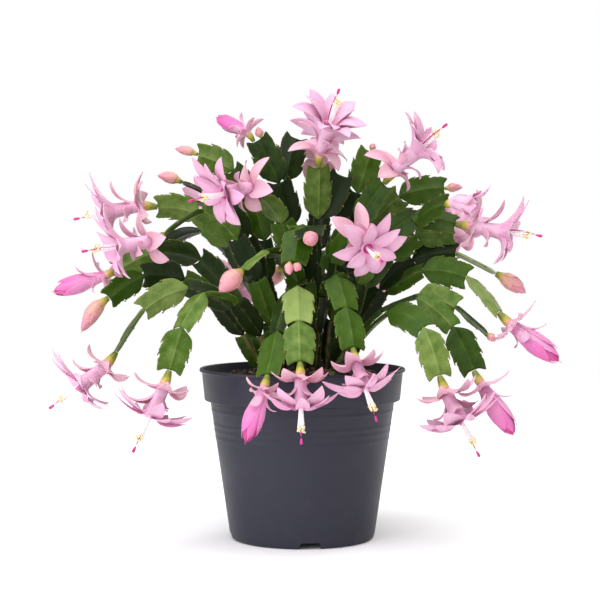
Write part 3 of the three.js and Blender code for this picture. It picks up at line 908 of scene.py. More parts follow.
@dataclass(frozen=True)
class LeafSkin(Finish):
    """The waxy green skin of a flat stem segment: dark, mottled, lighter along the midrib and the veins that
    run to the notches, with a thin pale rim that is a painted highlight, brown at the horns, and corky where
    it is old. Segments that hang are made lighter, which is painted light."""

    dark: str = "#122202"
    mid: str = "#38550a"
    # the lightest green, which hanging segments reach partly by painted light
    light: str = "#80924e"
    # the rim's colour, a painted highlight
    rim: str = "#8e9a48"
    horn: str = "#6b4a26"
    cork: str = "#6a6038"
    notches: tuple[float, ...] = (0.43, 0.72)  # where the side veins end, as shares of the length
    lean: float = 0.2  # how far a side vein runs forward from the midrib
    side_vein: float = 0.4  # how strong one is beside the midrib
    vein_light: float = 0.09  # how much lighter the midrib is than the skin
    # how much of that painted highlight shows on the rim
    rim_painted_highlight: float = 0.16

    def pattern(self, add: Callable[..., Socket]) -> Feeds:
        """Adds the nodes of the skin.

        Args:
            add: Adds a node.

        Returns:
            What feeds the shader.
        """
        spot = add("TexCoord", out="Object")
        along, across, _ = add("SeparateXYZ", add("UVMap", uv_map="surface")).node.outputs
        tone = add("Attribute", attribute_name="tone", out="Fac")
        age = add("Attribute", attribute_name="age", out="Fac")
        off = add("Math", across, 0.5, operation="SUBTRACT")
        off = add("Math", off, operation="ABSOLUTE")
        off = add("Math", off, 2.0, operation="MULTIPLY")

        # Midrib, and a vein to each notch: a line that leans forward from the rib.
        veins = add("MapRange", off, 0.1, 0.02, **SMOOTH)
        for notch in self.notches:
            line = add("Math", off, self.lean, notch - self.lean, operation="MULTIPLY_ADD")
            line = add("Math", along, line, operation="SUBTRACT")
            line = add("Math", line, operation="ABSOLUTE")
            line = add("MapRange", line, 0.02, 0.004, 0.0, self.side_vein, **SMOOTH)
            veins = add("Math", veins, line, operation="MAXIMUM")

        # Mottling 6 mm across, and each segment's shade from its tone, which holds painted light on hanging
        # segments.
        mottle = add("TexNoise", {"Vector": spot, "Scale": scale_for(6), "Detail": 4.0})
        shade = add("Math", mottle, 0.4, -0.26, operation="MULTIPLY_ADD")
        shade = add("Math", shade, tone, operation="ADD")
        shade = add("Math", veins, self.vein_light, shade, operation="MULTIPLY_ADD")
        share = add("MapRange", shade, 0.1, 0.62, **SMOOTH)
        green = add("Mix", {0: share, 6: linear(self.dark), 7: linear(self.mid)}, **COLOURS)
        share = add("MapRange", shade, 0.5, 0.95, **SMOOTH)
        green = add("Mix", {0: share, 6: green, 7: linear(self.light)}, **COLOURS)

        # The rim is paler, a painted highlight along the edge, and the horns at the tip are brown.
        share = add("MapRange", off, 0.88, 1.0, 0.0, self.rim_painted_highlight, **SMOOTH)
        green = add("Mix", {0: share, 6: green, 7: linear(self.rim)}, **COLOURS)
        tip = add("MapRange", along, 0.9, 1.0, 0.0, 0.75, **SMOOTH)
        edge = add("MapRange", off, 0.88, 1.0, **SMOOTH)
        share = add("Math", edge, tip, operation="MULTIPLY")
        green = add("Mix", {0: share, 6: green, 7: linear(self.horn)}, **COLOURS)

        # Cork spreads from the rib of old segments, in patches 3 mm across.
        cork = add("TexNoise", {"Vector": spot, "Scale": scale_for(3), "Detail": 5.0})
        cork = add("Math", age, cork, operation="ADD")
        cork = add("Math", cork, off, operation="SUBTRACT")
        share = add("MapRange", cork, 1.0, 1.75, **SMOOTH)
        green = add("Mix", {0: share, 6: green, 7: linear(self.cork)}, **COLOURS)

        # The wax is duller in patches, and pores, drawn 0.7 mm apart so that they show, roughen it.
        gloss = add("MapRange", mottle, 0.3, 0.7, self.roughness - 0.07, self.roughness + 0.08)
        pores = add("TexVoronoi", {"Vector": spot, "Scale": scale_for(0.7)}, out="Distance")
        normal = add("Bump", {"Height": pores, "Distance": 0.12 * MM, "Strength": 0.25})
        return {"Base Color": green, "Roughness": gloss, "Normal": normal}


@dataclass(frozen=True)
class Bark(Finish):
    """Corky grey-brown skin on the stems' feet, and the tufts at the notches: dull, with fine cracks."""

    dark: str = "#4a3b28"
    light: str = "#8b7a56"

    def pattern(self, add: Callable[..., Socket]) -> Feeds:
        """Adds the nodes of the bark.

        Args:
            add: Adds a node.

        Returns:
            What feeds the shader.
        """
        # Cracks about 1.2 mm apart, drawn out along the stem.
        spot = add("Mapping", {"Vector": add("TexCoord", out="Object"), "Scale": (1.0, 1.0, 0.35)})
        crack = add("TexNoise", {"Vector": spot, "Scale": scale_for(1.2), "Detail": 6.0, "Roughness": 0.65})
        share = add("MapRange", crack, 0.35, 0.65, **SMOOTH)
        colour = add("Mix", {0: share, 6: linear(self.dark), 7: linear(self.light)}, **COLOURS)
        normal = add("Bump", {"Height": crack, "Distance": 0.4 * MM, "Strength": 0.7})
        return {"Base Color": colour, "Normal": normal}


@dataclass(frozen=True)
class PetalSkin(Finish):
    """The thin satin skin of petals, which lets some light through.

    The shade follows the piece's tone, from the outer petals at 0 to the throat at 1. It is deeper at the
    base, has fine veins that run the petal's length, and is paler along the middle of open petals.
    """

    shades: tuple[str, ...] = ("#d39ea7", "#d5a5b8", "#d5a1be", "#cc6ba6", "#b43078")
    base: str = "#c96ba2"
    vein: str = "#c27aa6"
    pale: str = "#d6bccb"
    base_share: float = 0.3
    vein_share: float = 0.38
    pale_share: float = 0.35

    def pattern(self, add: Callable[..., Socket]) -> Feeds:
        """Adds the nodes of the petal.

        Args:
            add: Adds a node.

        Returns:
            What feeds the shader.
        """
        marks = add("UVMap", uv_map="surface")
        along, across, _ = add("SeparateXYZ", marks).node.outputs
        spot = add("TexCoord", out="Object")
        tone = add("Attribute", attribute_name="tone", out="Fac")
        colour = add("ValToRGB", tone)
        stops = colour.node.color_ramp.elements
        for i, shade in enumerate(self.shades):
            position = i / (len(self.shades) - 1)
            stop = stops[i] if i < 2 else stops.new(position)
            stop.position = position
            stop.color = linear(shade)

        # Blush in soft patches 5 mm across, deeper towards the base.
        patch = add("TexNoise", {"Vector": spot, "Scale": scale_for(5), "Detail": 2.0})
        low = add("MapRange", along, 0.55, 0.0, 0.0, 2 * self.base_share, **SMOOTH)
        share = add("Math", patch, low, operation="MULTIPLY")
        colour = add("Mix", {0: share, 6: colour, 7: linear(self.base)}, **COLOURS)

        # Veins: a noise 12 times finer across the petal than along it, on the petal's own marks.
        drawn = add("Mapping", {"Vector": marks, "Scale": (2.0, 24.0, 1.0)})
        veins = add("TexNoise", {"Vector": drawn, "Scale": 1.0, "Detail": 3.0})
        share = add("MapRange", veins, 0.52, 0.7, 0.0, self.vein_share, **SMOOTH)
        colour = add("Mix", {0: share, 6: colour, 7: linear(self.vein)}, **COLOURS)

        # Paler along the middle where the tone is that of an open flower's petal.
        off = add("Math", across, 0.5, operation="SUBTRACT")
        off = add("Math", off, operation="ABSOLUTE")
        middle = add("MapRange", off, 0.42, 0.05, **SMOOTH)
        open_ones = add("MapRange", tone, 0.62, 0.52, 0.0, self.pale_share, **SMOOTH)
        share = add("Math", middle, open_ones, operation="MULTIPLY")
        colour = add("Mix", {0: share, 6: colour, 7: linear(self.pale)}, **COLOURS)
        normal = add("Bump", {"Height": veins, "Distance": 0.12 * MM, "Strength": 0.35})
        return {"Base Color": colour, "Normal": normal}


@dataclass(frozen=True)
class OvarySkin(Finish):
    """The smooth olive skin of the young fruit under a flower.

    The shade follows the piece's tone, from green at 0, where it sits on the stem, to the blush at 1, where
    the petals begin.
    """

    dark: str = "#6c7420"
    light: str = "#a89b38"
    blush: str = "#dba088"

    def pattern(self, add: Callable[..., Socket]) -> Feeds:
        """Adds the nodes of the skin.

        Args:
            add: Adds a node.

        Returns:
            What feeds the shader.
        """
        # Mottling 2.5 mm across shifts the borders between the shades.
        spot = add("TexCoord", out="Object")
        patch = add("TexNoise", {"Vector": spot, "Scale": scale_for(2.5), "Detail": 3.0})
        tone = add("Attribute", attribute_name="tone", out="Fac")
        near = add("Math", patch, 0.5, tone, operation="MULTIPLY_ADD")
        share = add("MapRange", near, 0.3, 0.8, **SMOOTH)
        colour = add("Mix", {0: share, 6: linear(self.dark), 7: linear(self.light)}, **COLOURS)
        share = add("MapRange", near, 0.9, 1.35, **SMOOTH)
        return {"Base Color": add("Mix", {0: share, 6: colour, 7: linear(self.blush)}, **COLOURS)}


@dataclass(frozen=True)
class Thread(Finish):
    """Moist threads and knobs inside a flower, or dry pollen, in one colour that pales in spots."""

    colour: str = "#f6ecec"
    pale: str = "#ffffff"
    spots: float = 1.5  # millimetres across

    def pattern(self, add: Callable[..., Socket]) -> Feeds:
        """Adds the nodes of the thread.

        Args:
            add: Adds a node.

        Returns:
            What feeds the shader.
        """
        patch = add("TexNoise", {"Vector": add("TexCoord", out="Object"), "Scale": scale_for(self.spots)})
        share = add("MapRange", patch, 0.4, 0.7, **SMOOTH)
        return {"Base Color": add("Mix", {0: share, 6: linear(self.colour), 7: linear(self.pale)}, **COLOURS)}


@dataclass(frozen=True)
class MouldedPlastic(Finish):
    """Grey polypropylene, injection moulded: satin, with a faint orange-peel and a thin film of dust."""

    colour: str = "#282833"
    dust: str = "#464753"
    film: float = 0.16  # the most of the dust's colour that shows

    def pattern(self, add: Callable[..., Socket]) -> Feeds:
        """Adds the nodes of the plastic.

        Args:
            add: Adds a node.

        Returns:
            What feeds the shader.
        """
        # Flow marks 25 mm long in the gloss, and a film of dust in patches 9 mm across.
        spot = add("TexCoord", out="Object")
        flow = add("TexNoise", {"Vector": spot, "Scale": scale_for(25), "Detail": 3.0, "Distortion": 0.6})
        gloss = add("MapRange", flow, 0.3, 0.7, self.roughness - 0.04, self.roughness + 0.05)
        film = add("TexNoise", {"Vector": spot, "Scale": scale_for(9), "Detail": 6.0, "Roughness": 0.7})
        share = add("MapRange", film, 0.45, 0.8, 0.0, self.film, **SMOOTH)
        colour = add("Mix", {0: share, 6: linear(self.colour), 7: linear(self.dust)}, **COLOURS)
        # Orange-peel 0.8 mm across.
        peel = add("TexNoise", {"Vector": spot, "Scale": scale_for(0.8), "Detail": 2.0})
        normal = add("Bump", {"Height": peel, "Distance": 0.05 * MM, "Strength": 0.35})
        return {"Base Color": colour, "Roughness": gloss, "Normal": normal}


@dataclass(frozen=True)
class Peat(Finish):
    """Peat mix: dark dull crumbs and fibres. The shade follows the piece's tone: loose bits are lighter."""

    dark: str = "#1f140d"
    mid: str = "#3d2a1b"
    light: str = "#8a6b49"

    def pattern(self, add: Callable[..., Socket]) -> Feeds:
        """Adds the nodes of the peat.

        Args:
            add: Adds a node.

        Returns:
            What feeds the shader.
        """
        # Crumbs 2 mm across, with finer ones down to fibres of 0.1 mm in the noise's octaves.
        spot = add("TexCoord", out="Object")
        crumb = add("TexNoise", {"Vector": spot, "Scale": scale_for(2), "Detail": 8.0, "Roughness": 0.7})
        share = add("MapRange", crumb, 0.35, 0.7, **SMOOTH)
        colour = add("Mix", {0: share, 6: linear(self.dark), 7: linear(self.mid)}, **COLOURS)
        tone = add("Attribute", attribute_name="tone", out="Fac")
        share = add("MapRange", tone, 0.5, 1.0, **SMOOTH)
        colour = add("Mix", {0: share, 6: colour, 7: linear(self.light)}, **COLOURS)
        normal = add("Bump", {"Height": crumb, "Distance": 1.0 * MM, "Strength": 0.8})
        return {"Base Color": colour, "Normal": normal}


@dataclass(frozen=True)
class MattPaper(Finish):
    """The floor's matt white paper, with clouds too faint to see as such."""

    colour: str = "#fafafa"

    def pattern(self, add: Callable[..., Socket]) -> Feeds:
        """Adds the nodes of the paper and returns what feeds the shader."""
        cloud = add("TexNoise", {"Vector": add("TexCoord", out="Object"), "Scale": scale_for(400)})
        return {"Base Color": add("Mix", {0: cloud, 6: linear(self.colour), 7: linear("#ffffff")}, **COLOURS)}


# -------------------- pot and soil


def rounded(corners: list[Triple], steps: int = 6) -> Array:
    """Rounds the corners of an open outline.

    Formula: a corner of radius r is replaced by a curve with one control point, which starts and ends r away
    from the corner, or a third of the way along a shorter side.

    Args:
        corners: Distance from the axis, height and radius of each corner.
        steps: Points on each rounded corner.

    Returns:
        Points of the rounded outline.
    """
    places = np.array([corner[:2] for corner in corners], float)
    outline = [places[:1]]
    for i in range(1, len(corners) - 1):
        before, here, after = places[i - 1 : i + 2]
        if corners[i][2] == 0:
            outline.append(here[None])
            continue
        ends = []
        for other in (before, after):
            reach = np.linalg.norm(other - here)
            ends.append(here + (other - here) / reach * min(corners[i][2], reach / 3))
        t = np.linspace(0, 1, steps)[:, None]
        outline.append(ends[0] * (1 - t) ** 2 + here * 2 * t * (1 - t) + ends[1] * t * t)
    outline.append(places[-1:])
    return np.concatenate(outline)


def turn_round(outline: Array, columns: int) -> Array:
    """Turns an outline of (distance, height) round the upright axis.

    Args:
        outline: Points of the outline.
        columns: Points in a ring.

    Returns:
        Rows of rings.
    """
    angles = np.arange(columns) * 2 * np.pi / columns
    rings = np.empty((len(outline), columns, 3))
    rings[..., 0] = outline[:, :1] * np.cos(angles)
    rings[..., 1] = outline[:, :1] * np.sin(angles)
    rings[..., 2] = outline[:, 1:]
    return rings


def prism(base: Array, way: Array) -> bpy.types.Object:
    """Makes a closed prism to cut with.

    Args:
        base: Corners of one end, counter-clockwise as seen from the other.
        way: From one end to the other.

    Returns:
        A plain object, not tied to the frame.
    """
    count = len(base)
    sides = [(i, (i + 1) % count, (i + 1) % count + count, i + count) for i in range(count)]
    ends = [tuple(range(count))[::-1], tuple(range(count, 2 * count))]
    mesh = bpy.data.meshes.new("cutter")
    mesh.from_pydata((np.concatenate([base, base + way]) * MM).tolist(), [], sides + ends)
    cutter = bpy.data.objects.new("cutter", mesh)
    bpy.context.scene.collection.objects.link(cutter)
    return cutter


def cut(piece: bpy.types.Object, cutters: list[bpy.types.Object], sharp: float) -> None:
    """Cuts solids out of a piece and keeps the result as its mesh.

    Args:
        piece: The piece.
        cutters: The solids, which are used up.
        sharp: Edges that turn by more than so many degrees stay sharp.
    """
    group = bpy.data.collections.new("cutters")
    for cutter in cutters:
        group.objects.link(cutter)
    modifier = piece.modifiers.new("cuts", "BOOLEAN")
    modifier.operand_type = "COLLECTION"
    modifier.collection = group
    modifier.solver = "EXACT"
    bpy.context.view_layer.update()
    result = bpy.data.meshes.new_from_object(piece.evaluated_get(bpy.context.evaluated_depsgraph_get()))
    piece.modifiers.clear()
    old = piece.data
    name = old.name
    piece.data = result
    bpy.data.meshes.remove(old)
    result.name = name
    for cutter in cutters:
        bpy.data.meshes.remove(cutter.data)
    bpy.data.collections.remove(group)
    result.shade_smooth()
    result.set_sharp_from_angle(angle=math.radians(sharp))


@dataclass
class Pot:
    """The moulded nursery pot: tapered wall, stepped collar, rolled lip, foot with notches, drain holes."""

    # Distance from the axis, height, and radius of each corner.
    outline: tuple[Triple, ...] = (
        (0, 2.6, 0), (39.8, 2.6, 0.4), (39.8, 0, 0.5), (43.8, 0, 0.8), (45.4, 1.1, 0.8), (46.2, 3.6, 1.2),
        (58.4, 87.4, 0.4), (62.1, 88.2, 0.5), (63.7, 105.7, 0.4), (65.3, 106.3, 0.5), (65.1, 108, 0.7),
        (63.0, 108, 0.6), (60.4, 89.9, 1.0), (56.7, 87.6, 1.0), (44.7, 6.4, 1.4), (42.9, 4.6, 1.0),
        (0, 4.6, 0),
    )
    body_top: float = 87.4  # where the tapered wall meets the collar
    beads: tuple[float, ...] = (64.5, 69.0, 73.0, 82.0)  # heights of the beads round the wall
    beads_from: float = 58.0  # where the outline gets finer for them
    bead_step: float = 0.4
    bead_depth: float = 0.22
    bead_width: float = 1.0
    columns: int = 192
    notch: tuple[float, float, float, float] = (15.0, 11.0, 4.1, 14.0)  # foot, top, height, depth
    notch_turn: float = -84.0
    drain_radius: float = 3.6
    drain_ring: float = 24.0  # from the axis to the middle of a drain hole
    past: float = 3.0  # how far a cutter reaches past the wall
    below: float = 1.0  # and below the foot
    sharp: float = 35.0  # edges that turn by more than so many degrees stay sharp

    def section(self) -> Array:
        """Works out the outline of the wall.

        Formula: the rounded corners, and on the outside of the body a point at every step near the beads,
        moved out by depth * exp(-((z - bead) / width)^2).

        Returns:
            Points of (distance, height), from the middle of the foot over the lip to the middle of the floor.
        """
        points = rounded(list(self.outline))
        outer = int(np.argmax(points[:, 1] > self.body_top - 1.5))
        low = outer - 1
        heights = np.arange(self.beads_from, self.body_top - 1.0, self.bead_step)
        share = (heights - points[low, 1]) / (points[outer, 1] - points[low, 1])
        radii = points[low, 0] + (points[outer, 0] - points[low, 0]) * share
        offsets = (heights[:, None] - np.array(self.beads)) / self.bead_width
        radii = radii + self.bead_depth * np.exp(-(offsets**2)).sum(axis=1)
        return np.concatenate([points[:outer], np.stack([radii, heights], axis=1), points[outer:]])

    def cutters(self) -> list[bpy.types.Object]:
        """Makes the solids that cut the notches in the foot and the drain holes in the floor.

        Returns:
            The solids.
        """
        solids = []
        foot, top, height, depth = self.notch
        outside = self.outline[5][0] + self.past
        for quarter in (0, 90, 180, 270):
            out = spoke(EAST, NORTH, math.radians(self.notch_turn + quarter))
            across = np.cross(UP, out)
            low = -self.below
            corners = [(-foot / 2, low), (-top / 2, height), (top / 2, height), (foot / 2, low)]
            base = np.array([out * outside + across * x + UP * z for x, z in corners])
            solids.append(prism(base, -out * (depth + self.past)))
            middle = spoke(EAST, NORTH, math.radians(45 + quarter)) * self.drain_ring
            ring = turn_round(np.array([[self.drain_radius, 0.0]]), 32)[0]
            solids.append(prism(middle + ring, UP * (self.outline[-1][1] + self.past)))
        return solids

    def build(self, finish: bpy.types.Material) -> None:
        """Builds and dresses the pot.

        Args:
            finish: Its plastic.
        """
        section = self.section()
        skin = Skin()
        skin.add(turn_round(section, self.columns), round_marks(section[:, 1], self.columns))
        piece = skin.make("pot_moulded", [finish], "pot", "pot")
        cut(piece, self.cutters(), self.sharp)


@dataclass
class Soil:
    """Peat mix that fills the pot, heaped a little in the middle, with holes for the feet and loose bits."""

    edge: float = 102.4
    crown: float = 105.0
    lump: float = 0.8
    radius: float = 61.55
    sides: tuple[Triple, ...] = (
        (0, 4.9, 0), (42.6, 4.9, 1), (44.4, 6.7, 1), (56.4, 87.8, 0.4), (60.1, 90.1, 0.4),
    )
    rings: int = 64
    columns: int = 160
    bumps: tuple[Triple, ...] = ((0.35, 7, 21), (0.3, 2.6, 22))  # height, length and seed of each field
    hole: float = 3.6
    hole_bottom: float = 90.2
    hole_height: float = 24.0
    tone: float = 0.3
    sharp: float = 60.0  # edges that turn by more than so many degrees stay sharp
    bits: int = 760
    bit_sizes: tuple[float, float] = (0.7, 1.7)  # to the power of bit_rarity, which makes big ones rare
    bit_rarity: float = 1.6
    bit_lengths: tuple[float, float] = (1.1, 2.0)  # times the size
    bit_rough: float = 0.07
    bit_lies: float = 0.35  # how far its length may point up or down
    bit_tone: float = 0.45
    dark_bits: float = 0.72  # the share of the bits that has that tone
    pale_tones: tuple[float, float] = (0.55, 1.0)  # the rest

    def height(self, x: Array, y: Array) -> Array:
        """Works out the height of the surface.

        Formula: edge + (crown - edge)(1 - s^2) + lump (sin(0.31x + 1.3) cos(0.27y - 0.6)
        + sin(0.52(x + y)) / 2)(1 - s^4), where s is the distance from the axis over the radius.

        Args:
            x: Places.
            y: Places.

        Returns:
            The heights.
        """
        s = np.minimum(np.hypot(x, y) / self.radius, 1.0)
        waves = np.sin(0.31 * x + 1.3) * np.cos(0.27 * y - 0.6) + 0.5 * np.sin(0.52 * (x + y))
        return self.edge + (self.crown - self.edge) * (1 - s**2) + self.lump * waves * (1 - s**4)

    def build(self, finish: bpy.types.Material, feet: list[tuple[float, float]]) -> None:
        """Builds and dresses the soil.

        Formula: the sides are an outline turned round the axis. On top are rings of falling radius at the
        surface's height, roughened by two fields of bumps that die out at the edge.

        Args:
            finish: Its peat.
            feet: Where the stems stand.
        """
        side = rounded([*self.sides, (self.radius, self.edge - 0.6, 0)])
        radii = np.linspace(self.radius, 0, self.rings)
        top = turn_round(np.stack([radii, radii], axis=1), self.columns)
        top[..., 2] = self.height(top[..., 0], top[..., 1])
        flat = top * np.array([1.0, 1.0, 0.0])
        inner = np.clip((self.radius - radii) / 2, 0, 1)[:, None]
        top[..., 2] += sum(high * rough(flat, wide, int(seed)) for high, wide, seed in self.bumps) * inner
        top[-1] = top[-1].mean(axis=0)
        rings = np.concatenate([turn_round(side, self.columns), top])
        body = Skin()
        body.add(rings, round_marks(np.arange(len(rings)), self.columns), tone=self.tone)
        piece = body.make("soil_body", [finish], "soil", "soil")
        ring = turn_round(np.array([[self.hole, self.hole_bottom]]), 20)[0]
        holes = [prism(ring + np.array([x, y, 0.0]), UP * self.hole_height) for x, y in feet]
        cut(piece, holes, self.sharp)
        self.scatter(finish, np.array(feet))

    def scatter(self, finish: bpy.types.Material, feet: Array) -> None:
        """Strews loose bits over the surface.

        Args:
            finish: Their peat.
            feet: Where the stems stand, which the bits keep clear of.
        """
        dice = np.random.default_rng(5)
        skin = Skin()
        while len(skin.points) < self.bits:
            size = dice.uniform(*self.bit_sizes) ** self.bit_rarity
            distance = (self.radius - 1.2 - size / 2) * math.sqrt(dice.uniform())
            angle = dice.uniform(0, 2 * np.pi)
            x, y = distance * math.cos(angle), distance * math.sin(angle)
            if np.hypot(feet[:, 0] - x, feet[:, 1] - y).min() < self.hole + size / 2:
                continue
            way = unit(dice.normal(size=3) * np.array([1, 1, self.bit_lies]))
            middle = np.array([x, y, float(self.height(np.array(x), np.array(y))) + size * 0.15])
            bit = knob(middle, way, size * dice.uniform(*self.bit_lengths), size, 5, 6)
            bit[1:-1] += dice.normal(size=bit[1:-1].shape) * size * self.bit_rough
            tone = self.bit_tone if dice.uniform() < self.dark_bits else dice.uniform(*self.pale_tones)
            skin.add(bit, round_marks(np.arange(5), 6), tone=tone)
        skin.make("soil_bits", [finish], "soil")


# -------------------- leafy stems


def blade(
    spine: Array,
    side: Array,
    up: Array,
    across: Array,
    height: Array,
    thick: Array,
    ahead: Array | float = 0.0,
) -> Array:
    """Works out a thin blade.

    Formula: a point is the middle line's point + side * across + up * (height +- thick), and + ahead.

    Args:
        spine: The middle line, one point for each row.
        side: The unit way of the width at each row.
        up: The unit way of the upper face at each row.
        across: Rows and columns of distances along the side, from the most to the least.
        height: Rows and columns of distances along up of the middle of the thickness.
        thick: Rows and columns of half the thickness, 0 at both outer columns.
        ahead: Rows and columns of points to add.

    Returns:
        Rows of rings.
    """
    flat = spine[:, None] + side[:, None] * across[..., None] + ahead
    lift = up[:, None]
    return join_faces(flat + lift * (height + thick)[..., None], flat + lift * (height - thick)[..., None])


@dataclass
class LeafyStem:
    """One leafy stem: a woody foot in the soil, and toothed segments joined end to end."""

    name: str
    stem: Stem
    number: int
    foot_bottom: float = 90.7
    foot_radii: tuple[float, float] = (3.0, 2.2)
    foot_rows: int = 18
    foot_sides: int = 14
    follow: float = 0.6  # how much a segment bends with its arch
    # How much the edge leans ahead, at shares of the length: at the teeth, and little in the notches.
    teeth: tuple[tuple[float, float], ...] = (
        (0.2, 0), (0.39, 1), (0.415, 0.2), (0.5, 0), (0.68, 1), (0.705, 0.2),
    )
    last_tooth: float = 0.75
    hook: float = 0.03  # how far a tooth leans ahead, as a share of the length
    tufts: tuple[float, float] = (0.415, 0.7)  # shares of the length at the notches
    tuft: tuple[float, float] = (1.5, 1.0)  # length and width
    cup: float = 0.7  # the most by which the rim stands off the middle, in millimetres
    wave: float = 0.35  # and by which it ripples
    bend: float = 0.5
    uneven: float = 0.02
    tone: float = 0.24  # of the shade, and what makes it lighter: nearness to the arch's tip, hanging down, which is painted light, and chance
    young: float = 0.14
    hanging: float = 0.28
    chance: float = 0.34
    across: tuple[float, ...] = (0, 0.06, 0.13, 0.28, 0.5, 0.72, 0.88, 0.97, 1.0)
    arches: list[GrownArch] = field(default_factory=list)

    def __post_init__(self) -> None:
        """Grows the arches."""
        self.arches = grow(self.stem, self.number)

    def segment_skin(self, skin: Skin, part: Segment, age: float, youth: float) -> None:
        """Adds one segment.

        Formula: the middle line runs between the straight way from joint to joint and the arch's curve. Half
        the width follows the toothed outline. The thickness is that of the rim, and more by a bell over the
        middle and a narrow ridge. Teeth and the tip's horns lean ahead near the rim.

        Args:
            skin: Where it is added.
            part: The segment.
            age: How corky it is, from 0 to 1.
            youth: From 0 at the foot of its arch to 1 at the tip. Segments nearer the tip are lighter.
        """
        dice = np.random.default_rng(int(part.seed) + 500)
        length = float(np.linalg.norm(part.end - part.start))
        shares, widths = part.outline.rows()
        shares = np.concatenate([[-SEGMENT.sunk / length, -0.2 / length], shares[:-1], [0.975, 0.992, 1.0]])
        widths = np.concatenate([[0.07, 0.1], widths[:-1], widths[-1] * np.array([1.0, 0.985, 0.96])])
        half = part.half_width * widths
        half = half * (1 + self.uneven * dice.normal(size=len(half)) * (shares > 0.1))

        inner = np.clip(shares, 0, 1)
        low, high = part.shares
        curve, ways = part.route.read(low + (high - low) * inner)
        chord = part.start + (part.end - part.start) * inner[:, None]
        way = unit(part.along * (1 - self.follow) + ways * self.follow)
        spine = chord * (1 - self.follow) + curve * self.follow
        spine = spine + way * (np.minimum(shares, 0) * length)[:, None]
        side = unit(part.side - way * (way @ part.side)[:, None])
        up = np.cross(way, side)

        v = np.array([*self.across[::-1], *(-x for x in self.across[1:])])
        reach = np.abs(v)
        across = half[:, None] * v
        hooks = np.interp(inner, *zip(*self.teeth)) * (inner < self.last_tooth)
        lean = self.hook * hooks[:, None] * smooth_step(0.8, 1.0, reach)
        behind = self.teeth[-1][0]
        past = np.clip((inner - behind) / (1 - behind), 0, 1)[:, None] ** 2
        horn = part.outline.horn * smooth_step(part.outline.flat_tip, 1.0, reach) * past
        ahead = way[:, None] * ((lean + horn) * length)[..., None]

        rim = SEGMENT.rim * (1.25 if part.worn else 1.0)
        bell = (SEGMENT.rib - rim) / 2 * np.exp(-((across / SEGMENT.swell_width) ** 2))
        ridge = SEGMENT.ridge * np.exp(-((across / SEGMENT.ridge_width) ** 2))
        ridge = ridge * smooth_step(1.0, 0.85, inner)[:, None]
        beside = (np.abs(across) - SEGMENT.groove_place) / SEGMENT.groove_width
        groove = SEGMENT.groove * np.exp(-(beside**2))
        thick = np.minimum(rim / 2 + bell + ridge - groove, 0.9 * half[:, None] + 0.15)
        ends = np.sqrt(np.clip(1 - ((inner - 0.95) / 0.05).clip(0) ** 2, 0, 1))
        ends[0] = 0.0
        thick = thick * (1 - reach**6) ** 0.5 * ends[:, None]

        cup = self.cup * draw(part.seed + 3.7)
        ripple = np.sin(inner * 9 + 3 * draw(part.seed + 5.1))[:, None] * self.wave * np.sign(v) * reach**3
        bend = self.bend * draw(part.seed + 7.9) * np.sin(np.pi * inner)[:, None]
        height = (cup * reach**2 + ripple + bend) * smooth_step(0.0, 0.3, inner)[:, None]
        # Segments that hang are made lighter: painted light, as if the lamps lit them more.
        droop_painted_light = 0.5 - 0.5 * float(part.along[2])
        tone = self.tone + self.young * youth + self.hanging * droop_painted_light + self.chance * draw(part.seed + 9.3)
        points = blade(spine, side, up, across, height, thick, ahead)
        skin.add(points, face_marks(inner, v), tone=tone, age=age)

        # Small tufts in the notches, on both sides.
        near = np.abs(inner[:, None] - np.array(self.tufts)).min(axis=1) < 0.03
        for row in np.flatnonzero(near)[::2]:
            for column in (1, len(v) - 2):
                tuft = points[row, column] + way[row] * 0.6
                skin.add(knob(tuft, way[row], *self.tuft, 5, 6), round_marks(np.arange(5), 6), finish=1)

    def build(self, finishes: list[bpy.types.Material]) -> None:
        """Builds and dresses the stem.

        Args:
            finishes: The leaf skin and the bark.
        """
        skin = Skin()
        x, y = self.stem.foot
        heights = np.linspace(self.foot_bottom, SEGMENT.foot_height + 1.2, self.foot_rows)
        share = (heights - heights[0]) / (heights[-1] - heights[0])
        radii = self.foot_radii[0] + (self.foot_radii[1] - self.foot_radii[0]) * share
        radii = radii * (1 + 0.06 * np.sin(heights * 1.7 + self.number))
        radii[[0, -1]] = 0.0
        heights[[0, -1]] = heights[[1, -2]]
        foot = turn_round(np.stack([radii, heights], axis=1), self.foot_sides) + np.array([x, y, 0.0])
        skin.add(foot, round_marks(heights, self.foot_sides), finish=1)
        for arch in self.arches:
            oldest = 1.0 if arch is self.arches[0] else 0.7
            for i, part in enumerate(arch.segments):
                age = max(0.0, oldest - 0.3 * i) if part.worn else 0.0
                self.segment_skin(skin, part, age, i / max(1, len(arch.segments) - 1))
        skin.make(f"leafy_{self.name}", finishes, "leaf", f"stem_{self.name}")


# -------------------- flowers and buds


@dataclass(frozen=True)
class Whorl:
    """Petals that leave the body at one distance from the base and curl along an arc.

    `leaves` and `ends` are their angles from the flower's way, in degrees, and `power` says how late they
    curl. `faces` are their places round the flower, in sixths of a turn.
    """

    reach: float
    radius: float
    length: float
    width: float
    leaves: float
    ends: float
    power: float
    faces: tuple[float, ...]
    tone: float = 0.5
    cup: float = 0.16
    reflex: float = 0.0  # degrees by which the petals of a hanging flower curl back more


@dataclass(frozen=True)
class Wrap:
    """Petals that lie round the body, each over the next, from one distance from the base to another."""

    start: float
    end: float
    half_turn: float
    count: int
    first: float = 0.0
    lift: float = 0.4
    flare: float = 0.0  # how far the tips stand off
    tone: float = 0.6


@dataclass(frozen=True)
class Habit:
    """What a flower of one form is made of. Outlines are (distance from the base, radius, tone)."""

    ovary: tuple[Triple, ...]
    body: tuple[Triple, ...]
    whorls: tuple[Whorl, ...] = ()
    wraps: tuple[Wrap, ...] = ()
    threads: bool = False


